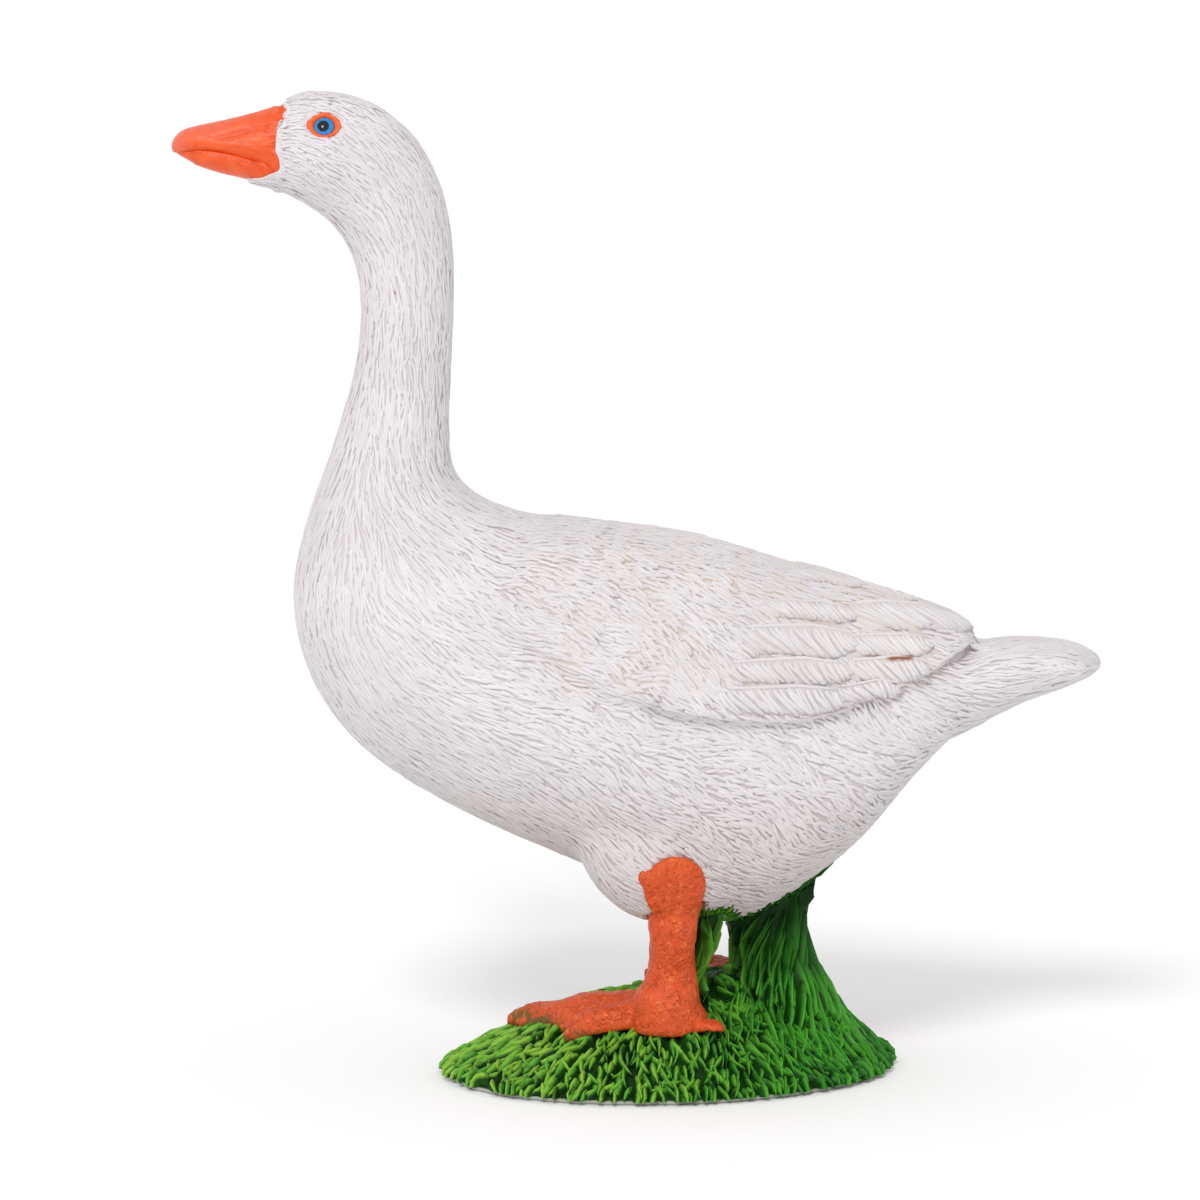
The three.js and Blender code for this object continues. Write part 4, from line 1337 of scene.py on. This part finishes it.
def goose_eyes(surface, rim_paint, ball_paint):
    """A ring and a domed ball for each eye, wrapped on the head."""
    for side_name in SIDES:
        centre, normal, ahead, up = eye_frame(surface, side_name)

        def on_head(x, y):
            flat = centre + np.multiply.outer(x, ahead) * MM + np.multiply.outer(y, up) * MM
            places, _, _ = surface.nearest(flat.reshape(-1, 3))
            return places.reshape(flat.shape)

        angle = np.linspace(0, math.tau, RING_AROUND, endpoint=False)
        inner, outer = almond(angle, *EYE_OPENING), almond(angle, *EYE_RIM)
        section = np.linspace(0, math.tau, RING_SECTION, endpoint=False)
        across = 0.5 - 0.5 * np.cos(section)
        lift = RIM_RISE * np.sin(section) + 0.04 * MM
        x = inner[0][:, None] * (1 - across) + outer[0][:, None] * across
        y = inner[1][:, None] * (1 - across) + outer[1][:, None] * across
        vertices = on_head(x, y) + lift[None, :, None] * normal
        ring = hoop_piece("eye_rim_" + side_name, vertices, {})
        finished(ring, rim_paint, "eye_ring_orange", "eye_ring_" + side_name)

        radius = np.linspace(0, 1, DOME_RINGS + 1)[1:]
        edge = almond(angle, EYE_OPENING[0] + BALL_REACH, EYE_OPENING[1] + BALL_REACH)
        x, y = np.multiply.outer(radius, edge[0]), np.multiply.outer(radius, edge[1])
        height = BALL_RISE * (1 - radius ** 2) - 0.02 * MM
        shell = on_head(x, y) + height[:, None, None] * normal
        top = on_head(np.zeros(1), np.zeros(1))[0] + 0.22 * MM * normal
        base = centre - 0.3 * MM * normal
        vertices = np.concatenate([[top], shell.reshape(-1, 3), [base]])
        flat = np.concatenate([[[0, 0]], np.stack([x, y], -1).reshape(-1, 2), [[0, 0]]])
        loops, starts = [], []
        last = 1 + (DOME_RINGS - 1) * RING_AROUND
        for j in range(RING_AROUND):
            k = (j + 1) % RING_AROUND
            for face in ([0, 1 + j, 1 + k], [len(vertices) - 1, last + k, last + j]):
                starts.append(len(loops))
                loops += face
            for i in range(DOME_RINGS - 1):
                first = 1 + i * RING_AROUND
                starts.append(len(loops))
                loops += [first + j, first + RING_AROUND + j, first + RING_AROUND + k, first + k]
        place = np.concatenate([flat, np.zeros((len(flat), 1))], 1)
        dome = outward(mesh_piece("eyeball_" + side_name, vertices, loops, starts, {"eye_place": place}))
        finished(dome, ball_paint, "eye_blue", "eye_" + side_name)


# ---------------------------------------------------------------- legs

# The ankle and the ends of the outer, middle, inner and hind toe, as shares of the foot's box from above.
FEET = {
    "left": ((0.765, 0.25), (0.24, 0.29), (0.03, 0.80), (0.27, 0.94), (0.97, 0.06)),
    "right": ((0.75, 0.66), (0.27, 0.72), (0.02, 0.15), (0.26, 0.04), (0.97, 0.87)),
}
TOE_RIDGE = {"half_width": 0.55 * MM, "rise": 0.22 * MM, "web_rise": 0.22 * MM}
KNUCKLES = {"count": 3, "swelling": 0.12}
# The rounded top of a bare leg, which lies on the belly: how far below the shank's top, and its halves.
LEG_CAP = {"below": 2.2 * MM, "half_long": 2.8 * MM, "half_wide": 2.6 * MM, "half_deep": 0.66 * MM}
LEG_KNOB = {"ahead": 2.55 * MM, "up": 0.9 * MM, "radius": 0.55 * MM}
# The leg tapers down from under the cap: how far below the top, how far out, and its halves.
LEG_TAPER = {"below": 5.2 * MM, "out": 1.0 * MM, "halves": (2.15 * MM, 1.60 * MM, 4.8 * MM)}
# The instep that fills the angle between shank and toes: its middle ahead of the ankle, height and halves.
INSTEP = {"ahead": 2.0 * MM, "up": 6.3 * MM, "halves": (2.7 * MM, 2.0 * MM, 1.25 * MM)}
OUTER_TOE_CURL = {"reach": 1.3 * MM, "down": 0.55 * MM, "out": 0.35 * MM}
HIND_TOE_TOP = 2.4 * MM          # above the lowest point of the foot
MIDDLE_TOE = {"lift": 0.25 * MM, "longer": 0.5 * MM}
INNER_TOE_DROP = 0.7 * MM
HEEL_SLIMMING = 0.2


def foot_points(side_name):
    """The ankle and the ends of the toes, from above."""
    low, high = (np.array(corner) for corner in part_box("foot_" + side_name))
    return [low[:2] + np.array(share) * (high - low)[:2] for share in FEET[side_name]]


def leg_extras(skin_surface, side_name):
    """The cap and knob that lie on the belly at the top of a leg, and its instep, as one mesh."""
    side = SIDES[side_name]
    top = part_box("shank_" + side_name)[1].z
    shank = positions(frame["nodes"]["shank_" + side_name])
    top_x = shank[shank[:, 2] > top - 4 * MM][:, 0].mean()
    made = bmesh.new()

    def ball(at, halves):
        matrix = at @ Matrix.Diagonal((*halves, 1))
        bmesh.ops.create_icosphere(made, subdivisions=4, radius=1, matrix=matrix)

    def bump(x, z, halves):
        start = Vector((x, side * 30 * MM, z))
        place, normal, _, _ = skin_surface.tree.ray_cast(start, Vector((0, -side, 0)))
        across = Vector((1, 0, 0)) - normal * normal.x
        across.normalize()
        turn = Matrix((across, normal.cross(across), normal)).transposed().to_4x4()
        ball(Matrix.Translation(place - normal * 0.10 * MM) @ turn, halves)

    height = top - LEG_CAP["below"]
    bump(top_x, height, (LEG_CAP["half_wide"], LEG_CAP["half_long"], LEG_CAP["half_deep"]))
    radius = LEG_KNOB["radius"]
    bump(top_x - LEG_KNOB["ahead"], height + LEG_KNOB["up"], (radius, radius * 1.3, radius))
    taper = shank[(shank[:, 2] < top - 2 * MM) & (shank[:, 2] > top - 8 * MM)].mean(0)
    spot = (taper[0], taper[1] + side * LEG_TAPER["out"], top - LEG_TAPER["below"])
    ball(Matrix.Translation(spot), LEG_TAPER["halves"])
    ankle, _, middle_toe, _, _ = foot_points(side_name)
    way = unit(middle_toe - ankle)
    at = Matrix.Translation((*(ankle + way * INSTEP["ahead"]), INSTEP["up"]))
    turn = Matrix.Rotation(math.atan2(way[1], way[0]), 4, "Z") @ Matrix.Rotation(math.radians(16), 4, "Y")
    ball(at @ turn, INSTEP["halves"])
    name = "leg_extras_" + side_name
    return linked(name, filled(bpy.data.meshes.new(name), made))


def toed(leg, side_name):
    """Raises the toes from the web, with knuckles on them."""
    places, normals = positions(leg), vertex_normals(leg)
    ankle, *tips = foot_points(side_name)
    ridge = np.zeros(len(places))
    offset = places[:, :2] - ankle
    spans = []
    for tip in tips:
        way = tip - ankle
        length = np.linalg.norm(way)
        along = offset @ way / length ** 2
        aside = np.abs(offset[:, 0] * way[1] - offset[:, 1] * way[0]) / length
        spans.append((along, aside))
        knuckles = 1 + KNUCKLES["swelling"] * np.cos(math.tau * KNUCKLES["count"] * (along - 0.35))
        fade = smoothstep(along, 0.10, 0.35) * smoothstep(along, 1.15, 0.98)
        ridge = np.maximum(ridge, np.exp(-(aside / TOE_RIDGE["half_width"]) ** 2) * knuckles * fade)
    from_ankle = np.linalg.norm(places[:, :2] - ankle, axis=1)
    on_foot = smoothstep(from_ankle, 2.2 * MM, 3.6 * MM) * smoothstep(normals[:, 2], 0.1, 0.6)
    web = 1 - np.minimum(ridge, 1)
    places[:, 2] += (TOE_RIDGE["rise"] * ridge + TOE_RIDGE["web_rise"] * web) * on_foot
    # The middle toe is thicker than the solid's, the outer one's end curls down, the hind one is thin.
    along, aside = spans[1]
    thick = smoothstep(along, 0.35, 0.6) * smoothstep(along, 1.05, 0.9) * smoothstep(aside, 2 * MM, 0.6 * MM)
    places[:, 2] += MIDDLE_TOE["lift"] * thick * smoothstep(normals[:, 2], 0.0, 0.5)
    end = smoothstep(along, 0.7, 1.0) * smoothstep(aside, 2 * MM, 0.8 * MM)
    places[:, 0] -= MIDDLE_TOE["longer"] * end
    inward = smoothstep(np.abs(places[:, 1]), 5.0 * MM, 2.0 * MM) * smoothstep(from_ankle, 3 * MM, 6 * MM)
    places[:, 2] -= INNER_TOE_DROP * inward * smoothstep(along, 1.0, 0.8)
    from_tip = np.linalg.norm(places[:, :2] - tips[0], axis=1)
    curl = np.exp(-(from_tip / OUTER_TOE_CURL["reach"]) ** 2)
    places[:, 2] -= OUTER_TOE_CURL["down"] * curl
    places[:, 1] += SIDES[side_name] * OUTER_TOE_CURL["out"] * curl
    hind_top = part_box("foot_" + side_name)[0].z + HIND_TOE_TOP
    thin = smoothstep(spans[3][0], 0.3, 0.9) * 0.55
    places[:, 2] += np.maximum(hind_top - places[:, 2], 0) * thin
    # The back of the ankle is slimmer than the solid's.
    behind = np.maximum(places[:, 0] - ankle[0], 0)
    part = smoothstep(places[:, 2], 6.0 * MM, 7.2 * MM) * smoothstep(places[:, 2], 16 * MM, 13 * MM)
    places[:, 0] -= HEEL_SLIMMING * behind * part
    moved(leg, places)


def wrinkled(obj, name, grain, depth, hard=False):
    """Displaces a piece by clouds of a grain size, with sharp creases where they are hard."""
    clouds = bpy.data.textures.new(name, "CLOUDS")
    clouds.noise_scale = grain
    clouds.noise_depth = 2
    clouds.noise_type = "HARD_NOISE" if hard else "SOFT_NOISE"
    modified(obj, "DISPLACE", strength=depth, mid_level=0.5, texture=clouds, texture_coords="LOCAL")


def goose_legs(paint, skin_surface):
    """Each bare leg with its foot, wrinkled, as one piece."""
    for side_name in SIDES:
        leg = rounded_copy("leg_" + side_name, ["shank_" + side_name, "foot_" + side_name], sharp=60)
        swollen(leg, SEAM)
        extras = leg_extras(skin_surface, side_name)
        only(leg)
        extras.select_set(True)
        bpy.ops.object.join()
        remeshed(leg, "leg")
        height = positions(leg)[:, 2]
        low_joints = smoothstep(height, 10.5 * MM, 9.0 * MM) * smoothstep(height, 5.0 * MM, 6.0 * MM)
        smoothed(leg, 30, np.maximum(smoothstep(height, 13.0 * MM, 15.0 * MM), low_joints))
        smoothed(leg, 6)
        toed(leg, side_name)
        wrinkled(leg, "leg_lumps_" + side_name, 1.5 * MM, 0.20 * MM)
        wrinkled(leg, "leg_creases_" + side_name, 0.42 * MM, -0.16 * MM, hard=True)
        smoothed(leg, 1, factor=0.4)
        leg.data.shade_smooth()
        finished(leg, paint, "leg_orange", "shank_" + side_name, "foot_" + side_name)


# ---------------------------------------------------------------- grass

BLADE_PROFILE = (0.0, 0.85, 1.0, 0.78, 0.42, 0.0)
STRAND_PROFILE = (0.0, 0.70, 1.0, 1.0, 0.70, 0.0)
# For each kind of blade: how far apart, its shape, how far the ways they point and bend vary, in radians,
# and the ranges of their lengths, widths and heights, in mm.
MOUND_BLADES = {
    "along": 0.85 * MM, "across": 0.42 * MM, "profile": BLADE_PROFILE, "lift": 0.45, "crease": 28,
    "turns": 0.36, "bends": 0.5, "lengths": (1.6, 3.1), "widths": (0.60, 1.18), "heights": (0.40, 0.85),
}
STRANDS = {
    "along": 1.3 * MM, "across": 0.46 * MM, "profile": STRAND_PROFILE, "lift": 0.05, "crease": 50,
    "turns": 0.12, "bends": 0.25, "lengths": (4.0, 8.0), "widths": (0.60, 1.15), "heights": (0.50, 1.00),
}
LAPPING_ENDS = {
    "along": 0.6 * MM, "across": 0.26 * MM, "profile": BLADE_PROFILE, "lift": 0.2, "crease": 50,
    "bends": 0.3, "lengths": (0.9, 2.0), "widths": (0.40, 0.62), "heights": (0.26, 0.42),
}
BLADE_TOP = 0.10                 # blades are ridged, so their flat top is narrow
BLADE_FLOOR = 0.32 * MM          # the blades stop above the mound's bare rim
# Swellings of the mound round the clumps' feet and the near heel: middle, rise and reach.
HUMMOCKS = (
    (4.8 * MM, -1.5 * MM, 2.2 * MM, 2.2 * MM),
    (12.5 * MM, -1.0 * MM, 1.3 * MM, 3.0 * MM),
    (0.5 * MM, -9.4 * MM, 0.7 * MM, 3.0 * MM),
)


def blades_piece(name, paths, ups, roots, kind, paint):
    """Grass blades of one kind along paths."""
    widths = RANDOM.uniform(*kind["widths"], len(paths)) * MM
    heights = RANDOM.uniform(*kind["heights"], len(paths)) * MM
    piece = strokes_piece(name, paths, ups, widths, heights, roots, kind["profile"], kind["lift"],
                          kind["crease"], BLADE_TOP)
    places = positions(piece)
    places[:, 2] = np.maximum(places[:, 2], BLADE_FLOOR)
    moved(piece, places)
    finished(piece, paint, "grass_green")


def grass_mound(base_paint, blade_paint):
    """The mound, and the blades that lie outwards and down all over it."""
    mound = rounded_copy("mound_base", ["mound"], sharp=60)
    remeshed(mound, "mound")
    smoothed(mound, 3)
    places = positions(mound)
    upper = smoothstep(places[:, 2], 0.3 * MM, 1.5 * MM)
    places = places - vertex_normals(mound) * (0.42 * MM * upper)[:, None]
    for middle_x, middle_y, rise, reach in HUMMOCKS:
        away = np.hypot(places[:, 0] - middle_x, places[:, 1] - middle_y) / reach
        places[:, 2] += rise * np.exp(-away ** 2) * upper
    places[:, 2] = np.maximum(places[:, 2], 0)
    moved(mound, places)
    mound.data.shade_smooth()
    finished(mound, base_paint, "grass_green", "mound")
    centres = unwrapped_centres(mound)
    points, normals, faces = scattered(mound, 5)
    points, normals, faces = picked(points[:, 2] > 0.8 * MM, points, normals, faces)

    def heading(here, up):
        out = here.copy()
        out[:, 2] = 0
        return levelled(unit(out) + np.array([0.0, 0.0, -1.2]), up)

    kind = MOUND_BLADES
    kept = spaced(points, normals, heading(points, normals), kind["along"], kind["across"])
    points, normals, faces = picked(kept, points, normals, faces)
    count = len(points)
    turns = RANDOM.normal(0, kind["turns"], count)
    lengths = RANDOM.uniform(*kind["lengths"], count) * MM
    lengths = np.minimum(lengths, points[:, 2] * 1.2 + 0.8 * MM)
    paths, ups = traced(Surface(mound), points, normals, lambda p, n: turned(heading(p, n), n, turns),
                        lengths, RANDOM.normal(0, kind["bends"], count))
    blades_piece("mound_blades", waved(paths, ups, 0.07 * MM), ups, centres[faces], kind, blade_paint)
    return mound


def clump_shape(node, clump):
    """Gives the front clump a waist and leans the rear one to it: the gap between them is a triangle."""
    places = positions(clump)
    low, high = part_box(node)
    height = places[:, 2]
    if node == "grass_clump_front":
        waist = 0.08 + 0.48 * np.exp(-((height - low.z - 3.0 * MM) / (3.0 * MM)) ** 2)
        places[:, 0] -= (places[:, 0] - low.x) * waist
        places[:, 0] -= 1.1 * MM * smoothstep(places[:, 0], low.x + 1.2 * MM, low.x)
        places[:, 2] += 0.5 * MM * smoothstep(height, high.z - 3 * MM, high.z)
    else:
        leaning = smoothstep(height, 9.2 * MM, 14.0 * MM) * smoothstep(places[:, 0], low.x + 4 * MM, low.x)
        places[:, 0] -= 2.2 * MM * leaning
    moved(clump, places)


def grass_clumps(base_paint, blade_paint, skin_surface, mound):
    """The two clumps, their strands and the ends of blades on the belly."""
    for node in ("grass_clump_front", "grass_clump_rear"):
        clump = rounded_copy(node + "_core", [node], sharp=60)
        remeshed(clump, "clump")
        smoothed(clump, 4)
        swollen(clump, -0.20 * MM)
        clump_shape(node, clump)
        clump.data.shade_smooth()
        finished(clump, base_paint, "grass_green", node)
        centres = unwrapped_centres(clump)
        middle = positions(clump).mean(0)
        points, normals, faces = scattered(clump, 6)
        points, normals, faces = picked(np.abs(normals[:, 2]) < 0.8, points, normals, faces)

        def downward(here, up):
            out = (here - middle) * [1, 1, 0]
            return levelled(unit(out) * 0.4 + np.array([0.0, 0.0, -1.0]), up)

        kind = STRANDS
        kept = spaced(points, normals, downward(points, normals), kind["along"], kind["across"])
        points, normals, faces = picked(kept, points, normals, faces)
        count = len(points)
        lengths = RANDOM.uniform(*kind["lengths"], count) * MM
        turns = RANDOM.normal(0, kind["turns"], count)
        paths, ups = traced(Surface(clump, mound), points, normals,
                            lambda p, n: turned(downward(p, n), n, turns),
                            lengths, RANDOM.normal(0, kind["bends"], count))
        paths = waved(paths, ups, 0.12 * MM)
        blades_piece(node + "_blades", paths, ups, centres[faces], kind, blade_paint)
        lapping_blades(node, clump, skin_surface, centres, blade_paint)


def lapping_blades(node, clump, skin_surface, centres, paint):
    """The ends of a clump's blades that lap onto the belly over it."""
    low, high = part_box(node)
    middle = np.array((low + high) / 2)
    spots = RANDOM.uniform(np.array(low) - [-0.3 * MM, 0.8 * MM, 0], np.array(high) + 0.5 * MM, (4000, 3))
    spots[:, 2] = high.z - RANDOM.uniform(0, 3, len(spots)) * MM
    points, normals, _ = skin_surface.nearest(spots)
    near, _, faces = Surface(clump).nearest(points)
    gaps = np.linalg.norm(near - points, axis=1)
    free = (gaps < 0.7 * MM) & (points[:, 2] > low.z + 0.5 * (high.z - low.z))
    points, normals, faces = picked(free, points, normals, faces)

    def outwards(here, up):
        way = (here - middle) * [0.6, 1.0, 0.0]
        return levelled(unit(way) * 0.8 + np.array([0.15, 0.0, 1.0]), up)

    kind = LAPPING_ENDS
    kept = spaced(points, normals, outwards(points, normals), kind["along"], kind["across"])
    points, normals, faces = picked(kept, points, normals, faces)
    lengths = RANDOM.uniform(*kind["lengths"], len(points)) * MM
    paths, ups = traced(skin_surface, points, normals, outwards, lengths,
                        RANDOM.normal(0, kind["bends"], len(points)))
    blades_piece(node + "_ends", paths + ups * 0.08 * MM, ups, centres[faces], kind, paint)


# ---------------------------------------------------------------- studio

FLOOR_HALF = 9.0
KEY = {"from": (-0.20, -0.72, 0.66), "spread": math.radians(16), "strength": 1.3}
FILL = 0.79


def studio():
    bpy.ops.mesh.primitive_plane_add(size=2 * FLOOR_HALF, location=(0, 0, -0.02 * MM))
    floor = bpy.context.object
    floor.name = "studio_floor"
    paint = Paint("studio_floor_paint", Specular_IOR_Level=0.1)
    pale = paint.mix(paint.noise(0.4, 1), (0.975, 0.975, 0.975), (0.985, 0.985, 0.985))
    floor.data.materials.append(paint.done(pale, 0.9))
    world = bpy.data.worlds.new("studio_air")
    world.use_nodes = True
    air = world.node_tree.nodes["Background"].inputs
    air["Color"].default_value = (1, 1, 1, 1)
    air["Strength"].default_value = FILL
    bpy.context.scene.world = world
    lamp = bpy.data.lights.new("key_light", "SUN")
    lamp.angle = KEY["spread"]
    lamp.energy = KEY["strength"]
    facing(linked("key_light", lamp), -Vector(KEY["from"]))
    bpy.context.scene.view_settings.view_transform = "Standard"


studio_camera()
studio()
goose = goose_skin()
goose_surface = Surface(goose)
bill_halves = goose_bill(bill_paint(), goose_surface)
goose_coat(goose, bill_halves, feather_paint("feather_stroke_paint", True))
finished(goose, feather_paint("feather_groove_paint", False), "white_feathers", *FLESH)
goose_eyes(goose_surface, ring_paint(), eye_paint())
goose_legs(leg_paint(), goose_surface)
mound_piece = grass_mound(grass_paint("grass_ground_paint", False), grass_paint("grass_blade_paint", True))
grass_clumps(grass_paint("clump_core_paint", False), grass_paint("clump_blade_paint", True), goose_surface,
             mound_piece)
